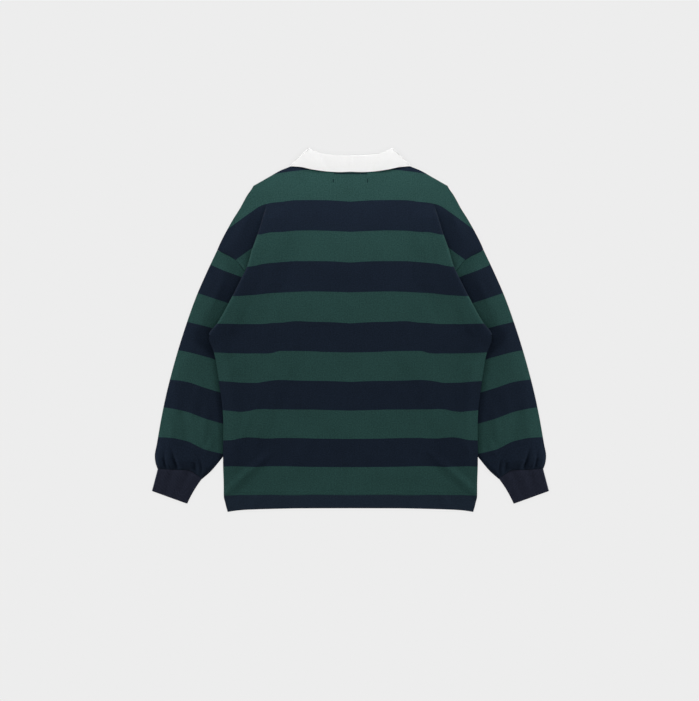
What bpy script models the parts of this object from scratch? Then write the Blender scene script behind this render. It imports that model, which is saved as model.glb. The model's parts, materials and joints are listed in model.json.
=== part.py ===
"""Oversized rugby shirt laid flat on its front, back up, sleeves brought down along the body.

Frame: metres, X across the shirt, +Y from hem to collar, +Z up, z = 0 is the surface it lies on.
The shirt is the same on both sides, so tables hold one side: a is the distance from the centre line.

Front and back lie on each other as a pair of walls. Each sleeve hangs from a pleat: the pair runs out
to the fold edge, turns under and back to the inner fold, then runs out again as the dropped shoulder,
which ends at the armhole seam. The sleeve is a flattened tube that passes under the body.
"""

import math

import bmesh
import bpy
import numpy as np

MM = 0.001

# Cloth
WALL = 1.2 * MM                      # jersey and collar cloth
GAP = 0.5 * MM                       # air between two layers that lie on each other
PITCH = WALL + GAP                   # one layer to the next
PAIR = GAP / 2 + WALL                # middle of the pair to its outer face
BEND = PITCH                         # the pair's middle turns at this radius in the pleat
FLAT = PAIR                          # height of the pair's middle where it rests on the surface
TUBE = 2 * WALL + GAP                # a sleeve pressed flat
HEM_TURN = 0.5 * MM                  # what the turned-up hem adds to the back panel
HEM_TOP = -0.3505
SEAM = 0.6 * MM                      # armhole and cuff seams, measured along the cloth
HALF_TURN = math.pi
MERGE = 0.01 * MM                    # points closer than this are one point
SHARP = math.radians(40)             # edges sharper than this are not smoothed over

# Pleat at the shoulder: from its point down to the underarm
APEX = (0.1835, 0.2776)
PLEAT_GROWS = 0.035                  # length in which the pleat closes to a full fold
CROSSING_Y = 0.1010                  # the armhole seam reaches the inner fold here
UNDERARM_Y = -0.0121
INNER_FOLD = (("y", "a"), (0.1010, 0.2054), (0.2776, 0.1835))
RETURN_SEAM = (("y", "a"), (-0.0121, 0.3048), (0.1010, 0.2086))

# Visible edge of the body: hem corner, side seam, underarm, pleat edge up to its point
BODY_EDGE = (
    ("y", "a"),
    (-0.4000, 0.2673), (-0.3880, 0.2765), (-0.3707, 0.2781), (-0.3443, 0.2785), (-0.2915, 0.2798),
    (-0.2044, 0.2794), (-0.1190, 0.2882), (-0.0451, 0.2999), (-0.0121, 0.3080), (0.0154, 0.2911),
    (0.0744, 0.2587), (0.1155, 0.2380), (0.1390, 0.2262), (0.2114, 0.2026), (0.2776, 0.1835),
)
# Shoulder edge below its corner, down to the armhole seam
SHOULDER_EDGE = (
    ("y", "a"),
    (0.1752, 0.2926), (0.1903, 0.2860), (0.2167, 0.2724), (0.2431, 0.2574), (0.2695, 0.2409),
    (0.2827, 0.2339), (0.2959, 0.2264), (0.3091, 0.2171), (0.3157, 0.2134),
)
ARMHOLE = (
    ("a", "y"),
    (0.2926, 0.1752), (0.2521, 0.1529), (0.2321, 0.1283), (0.2210, 0.1140), (0.2086, 0.1010),
)
CORNER = (0.2134, 0.3157)
BACK_NECK = (
    ("a", "y"),
    (0.0000, 0.3525), (0.0491, 0.3535), (0.0832, 0.3580), (0.1180, 0.3655),
)
FRONT_NECK = (
    ("a", "y"),
    (0.0000, 0.2862), (0.0320, 0.2872), (0.0662, 0.3050), (0.1003, 0.3370), (0.1180, 0.3655),
)
SHOULDER_TOP = (
    ("a", "y"),
    (0.1300, 0.3592), (0.1553, 0.3487), (0.1786, 0.3355), (0.2017, 0.3223), (0.2134, 0.3157),
)
HEM_Y = -0.3905
HEM_DIP = (("a", "dip"), (0.0, 0.0), (0.190, 0.0), (0.2068, 0.0022), (0.2596, 0.0051), (0.2673, 0.0095))
HEM_DIP_FADES = 0.060

# Rows and columns of the body panels
BODY_ROWS = (
    -0.3905, -0.3707, -0.3505, -0.3495, -0.3260, -0.3020, -0.2780, -0.2420, -0.2044, -0.1650, -0.1250,
    -0.0850, -0.0451, -0.0121, 0.0154, 0.0450, 0.0744, 0.1010, 0.1140, 0.1283, 0.1529, 0.1752,
    0.2030, 0.2280, 0.2426, 0.2510, 0.2590, 0.2680,
)
TOP_ROWS = (0.0, 0.3, 0.65, 1.0)
MAIN_COLUMNS = (0.0, 0.085, 0.15, 0.23, 0.31, 0.39, 0.47, 0.553, 0.64, 0.73, 0.82, 0.91, 1.0)
DROP_COLUMNS = (0.34, 0.67, 1.0)
ARC_STEPS = 4

# What lies under the body panels lifts them
SLEEVE_UNDER = (
    ("y", "a", "lift"),
    (-0.3250, 0.2560, 0.0), (-0.2850, 0.2560, 1.0), (-0.2409, 0.2398, 1.0), (-0.1771, 0.2134, 1.0),
    (-0.1133, 0.1826, 1.0), (-0.0473, 0.1595, 1.0), (0.0050, 0.1790, 1.0), (0.0560, 0.1960, 1.0),
    (0.1010, 0.2054, 1.0), (0.2776, 0.1835, 1.0),
)
UNDER_MARGIN = 0.026
UNDER_RAMP = 0.040
RETURN_FADES = 0.045                 # below the underarm
PLACKET_LIFT = (("y", "a"), (0.100, 0.130), (0.0205, 0.0560))
NECK_LIFT = (("y", "a"), (0.195, 0.2426), (0.1350, 0.1800))

# Broad soft folds of the body: they rise off the surface, back and front together
BODY_FOLDS = (
    ("a0", "y0", "a1", "y1", "half_width", "height"),
    (0.2050, -0.2980, 0.2380, -0.3620, 0.020, 2.6 * MM),
    (0.2440, -0.3060, 0.2640, -0.3500, 0.015, 2.0 * MM),
    (0.0950, -0.2300, 0.1500, -0.3300, 0.030, 1.4 * MM),
    (0.1150, 0.0900, 0.1750, -0.0200, 0.030, 1.6 * MM),
)

# Sleeve: rings from the armhole to the cuff
SLEEVE_RINGS = (
    ("outer_a", "outer_y", "inner_a", "inner_y", "armhole_bow", "cuff_bow", "gather"),
    (0.2926, 0.1752, 0.2086, 0.1010, 1.00, 0.0, 0.0),
    (0.3166, 0.1243, 0.1960, 0.0560, 0.55, 0.0, 0.0),
    (0.3395, 0.0715, 0.1790, 0.0050, 0.20, 0.0, 0.0),
    (0.3608, 0.0121, 0.1595, -0.0473, 0.0, 0.0, 0.0),
    (0.3777, -0.0407, 0.1720, -0.0905, 0.0, 0.0, 0.0),
    (0.3927, -0.0935, 0.1930, -0.1360, 0.0, 0.0, 0.0),
    (0.4059, -0.1463, 0.2160, -0.1870, 0.0, 0.0, 0.0),
    (0.4167, -0.1991, 0.2414, -0.2390, 0.0, 0.0, 0.0),
    (0.4257, -0.2519, 0.2794, -0.2783, 0.0, 0.15, 0.25),
    (0.4299, -0.2783, 0.3027, -0.3047, 0.0, 0.5, 0.75),
    (0.4284, -0.2915, 0.3157, -0.3179, 0.0, 0.8, 1.0),
    (0.4238, -0.3058, 0.3278, -0.3289, 0.0, 1.0, 0.45),
)
TUBE_COLUMNS = (
    0.0, 0.06, 0.12, 0.18, 0.24, 0.30, 0.35, 0.406, 0.444, 0.50, 0.56, 0.61, 0.659, 0.684, 0.74, 0.79,
    0.842, 0.895, 0.95, 1.0,
)
TUBE_UNDERSIDE = (0.0, 0.406, 0.444, 0.659, 0.684, 0.842, 1.0)
CAP_STEPS = 4
ALONG_SLEEVE = (0.62, -0.78)         # square to the armhole seam
ALONG_CUFF = (0.35, -0.94)           # square to the cuff seam
FOLD_ROOM = 0.8 * MM                 # the sleeve stops short of the pleat's inner fold
SET_IN_POWER = 4                     # only the last columns of a tube move in for its rounded edge
CUFF_SEAM = (
    ("a", "y"),
    (0.4238, -0.3058), (0.3784, -0.3084), (0.3564, -0.3091), (0.3410, -0.3179), (0.3278, -0.3289),
)
GATHERS = (
    ("across", "half_width", "height"),
    (0.08, 0.070, 2.2 * MM), (0.21, 0.080, 3.4 * MM), (0.34, 0.060, 1.8 * MM),
    (0.48, 0.100, 4.6 * MM), (0.64, 0.070, 2.4 * MM), (0.82, 0.120, 3.6 * MM),
)

# Ribbed cuff
CUFF_WALL = 1.9 * MM
CUFF_TUBE = 2 * CUFF_WALL + GAP
CUFF_BOTTOM = ((0.4354, -0.3546), (0.3586, -0.3828))
CUFF_RINGS = (0.0, 0.25, 0.65, 1.0)
RIBS = 30
RIB_HEIGHT = 0.6 * MM
RIB_FADES = (0.35, 1.0, 1.0, 0.5)

# Collar: a loop pressed flat, the leaf outside and the stand inside it
COLLAR_MIDDLE = FLAT + PITCH         # height of the loop's middle
LEAF_RING = 1.5 * PITCH
STAND_RING = 0.5 * PITCH
SIDE_STEPS = 5
ROLL_STEPS = 4
LEAF_STEPS = 3
COLLAR = (
    ("roll_a", "roll_y", "leaf_a", "leaf_y", "neck_a", "neck_y", "side"),
    (0.0000, 0.3832, 0.0000, 0.3465, 0.0000, 0.3537, "back"),
    (0.0250, 0.3832, 0.0280, 0.3472, 0.0245, 0.3542, "back"),
    (0.0500, 0.3832, 0.0550, 0.3487, 0.0491, 0.3547, "back"),
    (0.0660, 0.3880, 0.0836, 0.3509, 0.0832, 0.3592, "back"),
    (0.0820, 0.3935, 0.1100, 0.3552, 0.1003, 0.3634, "back"),
    (0.0908, 0.3964, 0.1320, 0.3574, 0.1160, 0.3682, "turn"),
    (0.0700, 0.3680, 0.1080, 0.3180, 0.1003, 0.3386, "front"),
    (0.0450, 0.3380, 0.0840, 0.2840, 0.0662, 0.3066, "front"),
    (0.0200, 0.3165, 0.0620, 0.2620, 0.0320, 0.2886, "front"),
)

# Front opening
PLACKET_TOP = 0.2845
PLACKET_LENGTH = 0.148
PLACKET_WIDTH = 0.032
BUTTON_RADIUS = 5.5 * MM
BUTTON_CLEARANCE = 0.4 * MM
BUTTON_COUNT = 3
BUTTON_SPACING = 0.050
DISC_SIDES = 24
HOLE_DEPTH = 4 * WALL

# Slides the whole shirt so that the middle of its length is the origin
SHIFT_Y = 0.5 * MM


def smooth(t):
    """0 to 1 with level ends."""
    t = min(max(t, 0.0), 1.0)
    return t * t * (3.0 - 2.0 * t)


def read(table, x, column=1):
    """A table's column at x, straight between its rows."""
    rows = sorted(table[1:])
    return float(np.interp(x, [row[0] for row in rows], [row[column] for row in rows]))


def ridge(a, y, fold):
    """Height of one soft fold at a point: a rounded ridge that dies out past its ends."""
    a0, y0, a1, y1, half_width, height = fold
    along = ((a - a0) * (a1 - a0) + (y - y0) * (y1 - y0)) / ((a1 - a0) ** 2 + (y1 - y0) ** 2)
    nearest = min(max(along, 0.0), 1.0)
    away = math.hypot(a - a0 - nearest * (a1 - a0), y - y0 - nearest * (y1 - y0))
    return height * smooth(1.0 - away / half_width)


def pleat_lift(y):
    """0 at the pleat's point, 1 where it is a full fold, and dying out below the underarm."""
    if y < UNDERARM_Y:
        return smooth(1.0 - (UNDERARM_Y - y) / RETURN_FADES)
    return smooth((APEX[1] - y) / PLEAT_GROWS)


def under_ramp(a, edge):
    """0 on the surface, 1 from a margin inside the edge of what lies under the panels."""
    return smooth(1.0 + (a - edge + UNDER_MARGIN) / UNDER_RAMP)


def body_height(a, y):
    """Height of the middle between back and front, over all that lies under them."""
    sleeve_lift = read(SLEEVE_UNDER, y, 2) * (pleat_lift(y) if y > UNDERARM_Y else 1.0)
    return_edge = read(RETURN_SEAM, y) if y < CROSSING_Y else read(INNER_FOLD, y)
    sleeve = sleeve_lift * under_ramp(a, read(SLEEVE_UNDER, y))
    pleat = pleat_lift(y) * under_ramp(a, return_edge)
    placket_rows, placket_sides = PLACKET_LIFT[1:]
    neck_rows, neck_sides = NECK_LIFT[1:]
    placket = (smooth((y - placket_rows[0]) / (placket_rows[1] - placket_rows[0]))
               * smooth((placket_sides[1] - a) / (placket_sides[1] - placket_sides[0])))
    neck = (smooth((y - neck_rows[0]) / (neck_rows[1] - neck_rows[0]))
            * smooth((neck_sides[1] - a) / (neck_sides[1] - neck_sides[0])))
    folds = sum(ridge(a, y, fold) for fold in BODY_FOLDS[1:])
    return FLAT + 2 * PITCH * (sleeve + pleat) + PITCH * max(placket, neck) + folds


def hem_dip(a, y):
    """How far the hem's corners hang below its middle."""
    return read(HEM_DIP, a) * smooth(1.0 - (y - HEM_Y) / HEM_DIP_FADES)


def pleated_row(y):
    """One half of a row at or below the pleat: points (a, y, z) with their normals in the row's plane."""
    pleated = y >= UNDERARM_Y
    turn = math.acos(1.0 - 2.0 * pleat_lift(y)) if pleated else 0.0
    reach = (BEND + PAIR) * (math.sin(turn) if turn < HALF_TURN / 2 else 1.0)
    end = read(BODY_EDGE, y) - (reach if pleated else 0.0)
    row = []
    for share in MAIN_COLUMNS:
        a = share * end
        row.append((a, y - hem_dip(a, y), body_height(a, y), 0.0, 1.0))
    if not pleated:
        return row

    top = FLAT + 2 * BEND * (1.0 - math.cos(turn))
    row[-1] = (end, y, top, 0.0, 1.0)
    centre_z = top - BEND
    for step in range(1, ARC_STEPS + 1):
        angle = turn * step / ARC_STEPS
        row.append((end + BEND * math.sin(angle), y, centre_z + BEND * math.cos(angle),
                    math.sin(angle), math.cos(angle)))
    last_a, _, last_z, normal_a, normal_z = row[-1]
    if y < CROSSING_Y:
        back_to = min(read(RETURN_SEAM, y), end)
        row.append((back_to, y, last_z, normal_a, normal_z))
        return row

    inner = read(INNER_FOLD, y) + BEND + PAIR
    run = max(0.0, end - inner) if turn > HALF_TURN - 1e-6 else 0.0
    row.append((last_a - run, y, last_z, normal_a, normal_z))
    drop_a = end - run + 2 * BEND * math.sin(turn)
    drop_z = centre_z + 2 * BEND * math.cos(turn)
    for step in range(ARC_STEPS - 1, -1, -1):
        angle = turn * step / ARC_STEPS
        row.append((drop_a - BEND * math.sin(angle), y, drop_z - BEND * math.cos(angle),
                    math.sin(angle), math.cos(angle)))
    seam_rows = (("y", "a"),) + tuple((point[1], point[0]) for point in ARMHOLE[1:])
    edge = read(SHOULDER_EDGE, y) if y > ARMHOLE[1][1] else read(seam_rows, y)
    for share in DROP_COLUMNS:
        a = drop_a + share * max(0.0, edge - drop_a)
        row.append((a, y, FLAT, 0.0, 1.0))
    return row


def top_row(share, neck):
    """One half of a row between the pleat's point (share 0) and the neck and shoulder edge (share 1)."""
    edge_table = (("a", "y"),) + neck[1:] + SHOULDER_TOP[1:]
    row = []
    for column in MAIN_COLUMNS:
        a = column * ((1 - share) * APEX[0] + share * CORNER[0])
        y = (1 - share) * APEX[1] + share * read(edge_table, column * CORNER[0])
        row.append((a, y, body_height(a, y), 0.0, 1.0))
    row += [row[-1]] * (2 * ARC_STEPS + 1)
    pleat_a, pleat_y, pleat_z = row[-1][:3]
    edge_y = (1 - share) * APEX[1] + share * CORNER[1]
    edge_a = read(SHOULDER_EDGE, edge_y)
    for column in DROP_COLUMNS:
        row.append((pleat_a + column * (edge_a - pleat_a), pleat_y + column * (edge_y - pleat_y),
                    pleat_z + column * (FLAT - pleat_z), 0.0, 1.0))
    return row


def both_sides(row, width):
    """A half row from the centre line outwards, made a whole row; None fills it to its full width."""
    mirrored = [(-a, y, z, -na, nz) for a, y, z, na, nz in reversed(row[1:])]
    spare = [None] * (width - len(row))
    return spare + mirrored + row + spare


def offset(row, distance):
    return [point and (point[0] + distance * point[3], point[1] + SHIFT_Y, point[2] + distance * point[4])
            for point in row]


def skin(outer, inner, ring=False):
    """Vertices and faces of a wall between two grids of the same size.

    A quad is left out where a corner is None. The wall is closed along every free edge.
    """
    columns = len(outer[0])
    numbers, vertices = {}, []
    for layer, grid in enumerate((outer, inner)):
        for row, points in enumerate(grid):
            for column, point in enumerate(points):
                if point is not None:
                    numbers[layer, row, column] = len(vertices)
                    vertices.append(point)
    faces, free_edges = [], {}
    for row in range(len(outer) - 1):
        for column in range(columns if ring else columns - 1):
            after = (column + 1) % columns
            quad = [(row, column), (row, after), (row + 1, after), (row + 1, column)]
            if any((0, *corner) not in numbers for corner in quad):
                continue
            for corners in ((0, 1, 2), (0, 2, 3)):
                faces.append([numbers[0, *quad[corner]] for corner in corners])
                faces.append([numbers[1, *quad[corner]] for corner in reversed(corners)])
            for start, end in zip(quad, quad[1:] + quad[:1]):
                if free_edges.pop((end, start), None) is None:
                    free_edges[start, end] = True
    for start, end in free_edges:
        faces.append([numbers[0, *end], numbers[0, *start], numbers[1, *start], numbers[1, *end]])
    return vertices, faces


def add_solid(name, vertices, faces, material, collection):
    """A closed mesh object: points that fall together are merged and its faces point out."""
    mesh = bpy.data.meshes.new(name)
    mesh.from_pydata(vertices, [], faces)
    shape = bmesh.new()
    shape.from_mesh(mesh)
    bmesh.ops.remove_doubles(shape, verts=shape.verts, dist=MERGE)
    bmesh.ops.recalc_face_normals(shape, faces=shape.faces)
    shape.to_mesh(mesh)
    shape.free()
    mesh.shade_smooth()
    mesh.set_sharp_from_angle(angle=SHARP)
    solid = bpy.data.objects.new(name, mesh)
    solid.data.materials.append(material)
    collection.objects.link(solid)
    return solid


def make_material(name, colour, roughness):
    material = bpy.data.materials.new(name)
    material.use_nodes = True
    shader = material.node_tree.nodes["Principled BSDF"]
    shader.inputs["Base Color"].default_value = (*colour, 1.0)
    shader.inputs["Roughness"].default_value = roughness
    shader.inputs["Metallic"].default_value = 0.0
    return material


def body_panel(name, neck, near, far, material, collection):
    """Back or front panel: the pair's middle surface, offset to the panel's two faces."""
    rows = [pleated_row(y) for y in BODY_ROWS] + [top_row(share, neck) for share in TOP_ROWS]
    width = max(len(row) for row in rows)
    outer, inner = [], []
    for row in rows:
        hem = HEM_TURN if far > 0 and row[0][1] <= HEM_TOP else 0.0
        outer.append(offset(both_sides(row, width), far + hem))
        inner.append(offset(both_sides(row, width), near))
    return add_solid(name, *skin(outer, inner), material, collection)


def along_polyline(points, share):
    """A point on a polyline at a share of its length."""
    steps = [math.dist(first, second) for first, second in zip(points, points[1:])]
    places = np.concatenate(([0.0], np.cumsum(steps))) / sum(steps)
    return np.array([np.interp(share, places, [point[axis] for point in points]) for axis in (0, 1)])


def bow(table, share):
    """How far a seam strays from the straight line between its ends."""
    points = table[1:]
    chord = np.array(points[0]) * (1 - share) + np.array(points[-1]) * share
    return along_polyline(points, share) - chord


def gather_height(across):
    return sum(height * smooth(1.0 - abs(across - centre) / half_width)
               for centre, half_width, height in GATHERS[1:])


def edge_directions(points, outward):
    """Unit directions square to an edge at each of its points; outward is 1 away from the body, -1 to it."""
    directions = []
    for number in range(len(points)):
        before, after = points[max(number - 1, 0)], points[min(number + 1, len(points) - 1)]
        run = (after - before) / np.linalg.norm(after - before)
        square = np.array((run[1], -run[0]))
        directions.append(square * math.copysign(1.0, square[0] * outward))
    return directions


def flat_tube_ring(place, top, tube, depth, side, outs, columns, underside):
    """Points round a flattened tube, moved in from its outer face by depth.

    place(across) gives the point in plan and top(across) the height of the upper face;
    outs are the directions in which the tube's two rounded edges bulge.
    """
    ring = []
    radius = tube / 2
    for across in columns:
        spot = place(across)
        ring.append((side * spot[0], spot[1], top(across) - depth))
    for step in range(1, CAP_STEPS):
        angle = HALF_TURN * step / CAP_STEPS
        spot = place(1.0) + outs[1] * (radius - depth) * math.sin(angle)
        ring.append((side * spot[0], spot[1], radius + (radius - depth) * math.cos(angle)))
    for across in reversed(underside):
        spot = place(across)
        ring.append((side * spot[0], spot[1], depth))
    for step in range(1, CAP_STEPS):
        angle = HALF_TURN * step / CAP_STEPS
        spot = place(0.0) + outs[0] * (radius - depth) * math.sin(angle)
        ring.append((side * spot[0], spot[1], radius - (radius - depth) * math.cos(angle)))
    return [(x, y + SHIFT_Y, z) for x, y, z in ring]


def tube_place(start, end, stray, slide, outs, insets):
    """Plan of one ring: the line between its edges, plus its seam's stray, set in at the rounded edges."""
    def place(across):
        set_in = (insets[0] * outs[0] * (1.0 - across) ** SET_IN_POWER
                  + insets[1] * outs[1] * across ** SET_IN_POWER)
        return start * (1.0 - across) + end * across + stray(across) + slide - set_in
    return place


def sleeve(name, side, material, collection):
    rings = [dict(zip(SLEEVE_RINGS[0], ring)) for ring in SLEEVE_RINGS[1:]]
    starts = [np.array((ring["outer_a"], ring["outer_y"])) for ring in rings]
    ends = [np.array((ring["inner_a"], ring["inner_y"])) for ring in rings]
    bulges = list(zip(edge_directions(starts, 1), edge_directions(ends, -1)))
    outer, inner = [], []
    for number, ring in enumerate(rings):
        insets = [TUBE / 2, TUBE / 2]
        slide = np.array((0.0, 0.0))
        if number == 0:
            insets[1] += FOLD_ROOM
            slide = np.array(ALONG_SLEEVE) * SEAM
        if number == len(rings) - 1:
            slide = -np.array(ALONG_CUFF) * SEAM / 2

        def stray(across, ring=ring):
            return ring["armhole_bow"] * bow(ARMHOLE, across) + ring["cuff_bow"] * bow(CUFF_SEAM, across)

        def top(across, ring=ring):
            return TUBE + ring["gather"] * gather_height(across)

        place = tube_place(starts[number], ends[number], stray, slide, bulges[number], insets)
        for grid, depth in ((outer, 0.0), (inner, WALL)):
            grid.append(flat_tube_ring(place, top, TUBE, depth, side, bulges[number],
                                       TUBE_COLUMNS, TUBE_UNDERSIDE))
    return add_solid(name, *skin(outer, inner, ring=True), material, collection)


def cuff(name, side, material, collection):
    """Ribbed band: the ribs are raised in the outer face, the inside is plain, the underside lies flat."""
    columns = [step / (2 * RIBS) for step in range(2 * RIBS + 1)]
    seam_ends = [np.array(CUFF_SEAM[1]), np.array(CUFF_SEAM[-1])]
    bottom_ends = [np.array(point) for point in CUFF_BOTTOM]
    starts = [seam_ends[0] * (1 - share) + bottom_ends[0] * share for share in CUFF_RINGS]
    ends = [seam_ends[1] * (1 - share) + bottom_ends[1] * share for share in CUFF_RINGS]
    bulges = list(zip(edge_directions(starts, 1), edge_directions(ends, -1)))
    outer, inner = [], []
    for number, (share, rib) in enumerate(zip(CUFF_RINGS, RIB_FADES)):
        slide = np.array(ALONG_CUFF) * (SEAM / 2 if share == 0.0 else 0.0)

        def stray(across, share=share):
            return (1 - share) ** 2 * bow(CUFF_SEAM, across)

        def ribbed(across, rib=rib):
            crest = round(across * 2 * RIBS) % 2
            return CUFF_TUBE + crest * rib * RIB_HEIGHT

        place = tube_place(starts[number], ends[number], stray, slide, bulges[number], [CUFF_TUBE / 2] * 2)
        outer.append(flat_tube_ring(place, ribbed, CUFF_TUBE, 0.0, side, bulges[number],
                                    columns, TUBE_UNDERSIDE))
        inner.append(flat_tube_ring(place, lambda across: CUFF_TUBE, CUFF_TUBE, CUFF_WALL, side,
                                    bulges[number], columns, TUBE_UNDERSIDE))
    return add_solid(name, *skin(outer, inner, ring=True), material, collection)


def collar_stations():
    """Half the collar loop from the centre back: plan points, out direction and turn at each station."""
    rows = [dict(zip(COLLAR[0], row)) for row in COLLAR[1:]]
    stations = []
    for row in rows:
        roll = np.array((row["roll_a"], row["roll_y"]))
        leaf = np.array((row["leaf_a"], row["leaf_y"]))
        neck = np.array((row["neck_a"], row["neck_y"]))
        up = (roll - leaf) / np.linalg.norm(roll - leaf)
        out = np.array((up[1], -up[0]))
        if row["side"] == "turn":
            angles = [HALF_TURN * step / SIDE_STEPS for step in range(SIDE_STEPS + 1)]
        else:
            angles = [0.0 if row["side"] == "back" else HALF_TURN]
        stations += [(roll, leaf, neck, up, out, angle) for angle in angles]
    return stations


def collar_point(plan, up, out, angle, ring, advance, normal, depth):
    """A point of the loop: ring is its distance from the loop's middle, advance is along up.

    normal holds the wall's direction as (along the ring's radius, along up), depth moves along it.
    """
    radius = ring + depth * normal[0]
    spot = plan + up * (advance + depth * normal[1]) + out * radius * math.sin(angle)
    return spot[0], spot[1] + SHIFT_Y, COLLAR_MIDDLE + radius * math.cos(angle)


def collar_leaf(material, collection):
    """The fall, from its free edge up to the roll and over it to the stand."""
    profile = [(step / LEAF_STEPS, LEAF_RING, 0.0, (1.0, 0.0)) for step in range(LEAF_STEPS + 1)]
    middle = (LEAF_RING + STAND_RING) / 2
    radius = (LEAF_RING - STAND_RING) / 2
    for step in range(1, ROLL_STEPS + 1):
        angle = HALF_TURN * step / ROLL_STEPS
        normal = (math.cos(angle), math.sin(angle))
        profile.append((1.0, middle + radius * normal[0], radius * normal[1], normal))
    grids = []
    for depth in (WALL / 2, -WALL / 2):
        grid = []
        for share, ring, advance, normal in profile:
            half = [collar_point(leaf * (1 - share) + roll * share, up, out, angle, ring, advance, normal, depth)
                    for roll, leaf, neck, up, out, angle in collar_stations()]
            grid.append([(-x, y, z) for x, y, z in reversed(half[1:])] + half)
        grids.append(grid)
    return add_solid("collar_leaf", *skin(*grids), material, collection)


def collar_stand(material, collection):
    """The band between the neck seam and the roll."""
    grids = []
    for depth in (WALL / 2, -WALL / 2):
        grid = []
        for share in (0.0, 0.5, 1.0):
            half = []
            for roll, leaf, neck, up, out, angle in collar_stations():
                top = roll - up * GAP
                half.append(collar_point(neck * (1 - share) + top * share, up, out, angle,
                                         STAND_RING, 0.0, (1.0, 0.0), depth))
            grid.append([(-x, y, z) for x, y, z in reversed(half[1:])] + half)
        grids.append(grid)
    return add_solid("collar_stand", *skin(*grids), material, collection)


def disc(name, radius, depth, place):
    bpy.ops.mesh.primitive_cylinder_add(vertices=DISC_SIDES, radius=radius, depth=depth, location=place)
    made = bpy.context.object
    made.name = made.data.name = name
    return made


def move_to(piece, collection):
    for holder in list(piece.users_collection):
        holder.objects.unlink(piece)
    collection.objects.link(piece)


def front_opening(cloth, rubber, collection, cutters):
    """Placket strip under the front panel, with its buttons flush in it so that it lies flat."""
    middle_y = PLACKET_TOP - PLACKET_LENGTH / 2 + SHIFT_Y
    bpy.ops.mesh.primitive_cube_add(size=1.0, location=(0.0, middle_y, WALL / 2))
    placket = bpy.context.object
    placket.name = placket.data.name = "placket"
    placket.scale = (PLACKET_WIDTH, PLACKET_LENGTH, WALL)
    bpy.ops.object.transform_apply(location=False, rotation=False, scale=True)
    placket.data.materials.append(cloth)
    move_to(placket, collection)
    for number in range(BUTTON_COUNT):
        y = middle_y + (number - (BUTTON_COUNT - 1) / 2) * BUTTON_SPACING
        button = disc(f"button_{number + 1}", BUTTON_RADIUS, WALL, (0.0, y, WALL / 2))
        button.data.materials.append(rubber)
        button.data.shade_smooth()
        button.data.set_sharp_from_angle(angle=SHARP)
        move_to(button, collection)
        hole = disc(f"hole_{number + 1}", BUTTON_RADIUS + BUTTON_CLEARANCE, HOLE_DEPTH, (0.0, y, WALL / 2))
        hole.hide_render = True
        hole.display_type = "WIRE"
        move_to(hole, cutters)
        cut = placket.modifiers.new(f"Button hole {number + 1}", "BOOLEAN")
        cut.operation = "DIFFERENCE"
        cut.object = hole


def build():
    for old in list(bpy.data.objects):
        bpy.data.objects.remove(old, do_unlink=True)
    shirt = bpy.data.collections.new("Rugby shirt")
    cutters = bpy.data.collections.new("Cutters")
    for collection in (shirt, cutters):
        bpy.context.scene.collection.children.link(collection)

    green = make_material("Green jersey", (0.028, 0.062, 0.058), 0.85)
    navy = make_material("Navy jersey", (0.012, 0.018, 0.030), 0.85)
    rib = make_material("Navy rib", (0.016, 0.018, 0.026), 0.90)
    twill = make_material("White twill", (0.86, 0.86, 0.85), 0.75)
    rubber = make_material("White rubber", (0.80, 0.80, 0.78), 0.50)

    body_panel("back_panel", BACK_NECK, GAP / 2, PAIR, green, shirt)
    body_panel("front_panel", FRONT_NECK, -GAP / 2, -PAIR, green, shirt)
    for label, side in (("left", -1), ("right", 1)):
        sleeve(f"sleeve_{label}", side, navy, shirt)
        cuff(f"cuff_{label}", side, rib, shirt)
    collar_leaf(twill, shirt)
    collar_stand(twill, shirt)
    front_opening(twill, rubber, shirt, cutters)


build()
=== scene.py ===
# %% [markdown]
# # A striped rugby shirt, laid flat with its back up
#
# The solids of this shirt are already fixed: two body panels, two sleeves, two cuffs, a collar in two
# pieces, a placket and three buttons. This lesson dresses them. Every piece of cloth becomes a thin
# shell that keeps its solid's form and gains what cloth has: soft creases, a knitted or woven face,
# dyed stripes, sewing, and edges that are round instead of cut like card.
#
# Everything is in metres. X runs across the shirt, +Y from hem to collar, +Z up off the table.

# %% Tools and the fixed model
import functools
import json
import math

import bpy
import numpy as np
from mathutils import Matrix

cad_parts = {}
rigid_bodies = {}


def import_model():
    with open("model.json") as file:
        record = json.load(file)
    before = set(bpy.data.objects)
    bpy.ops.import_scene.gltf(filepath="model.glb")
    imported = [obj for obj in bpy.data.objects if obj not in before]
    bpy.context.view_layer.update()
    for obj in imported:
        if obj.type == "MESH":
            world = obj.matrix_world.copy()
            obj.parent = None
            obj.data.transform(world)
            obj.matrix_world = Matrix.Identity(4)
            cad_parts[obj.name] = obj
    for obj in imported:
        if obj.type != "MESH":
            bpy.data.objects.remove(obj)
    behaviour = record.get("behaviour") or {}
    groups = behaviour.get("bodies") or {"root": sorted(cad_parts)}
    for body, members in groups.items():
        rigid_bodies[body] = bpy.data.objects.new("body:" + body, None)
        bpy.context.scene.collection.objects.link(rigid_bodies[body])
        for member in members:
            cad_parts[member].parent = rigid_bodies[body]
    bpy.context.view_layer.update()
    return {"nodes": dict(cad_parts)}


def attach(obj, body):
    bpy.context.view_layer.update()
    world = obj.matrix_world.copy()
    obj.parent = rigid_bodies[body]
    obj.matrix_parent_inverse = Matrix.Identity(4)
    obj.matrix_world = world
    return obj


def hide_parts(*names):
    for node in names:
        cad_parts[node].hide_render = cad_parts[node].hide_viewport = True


for old in list(bpy.data.objects):
    bpy.data.objects.remove(old, do_unlink=True)
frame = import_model()
MM = 0.001
print("solids:", sorted(frame["nodes"]))

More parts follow.
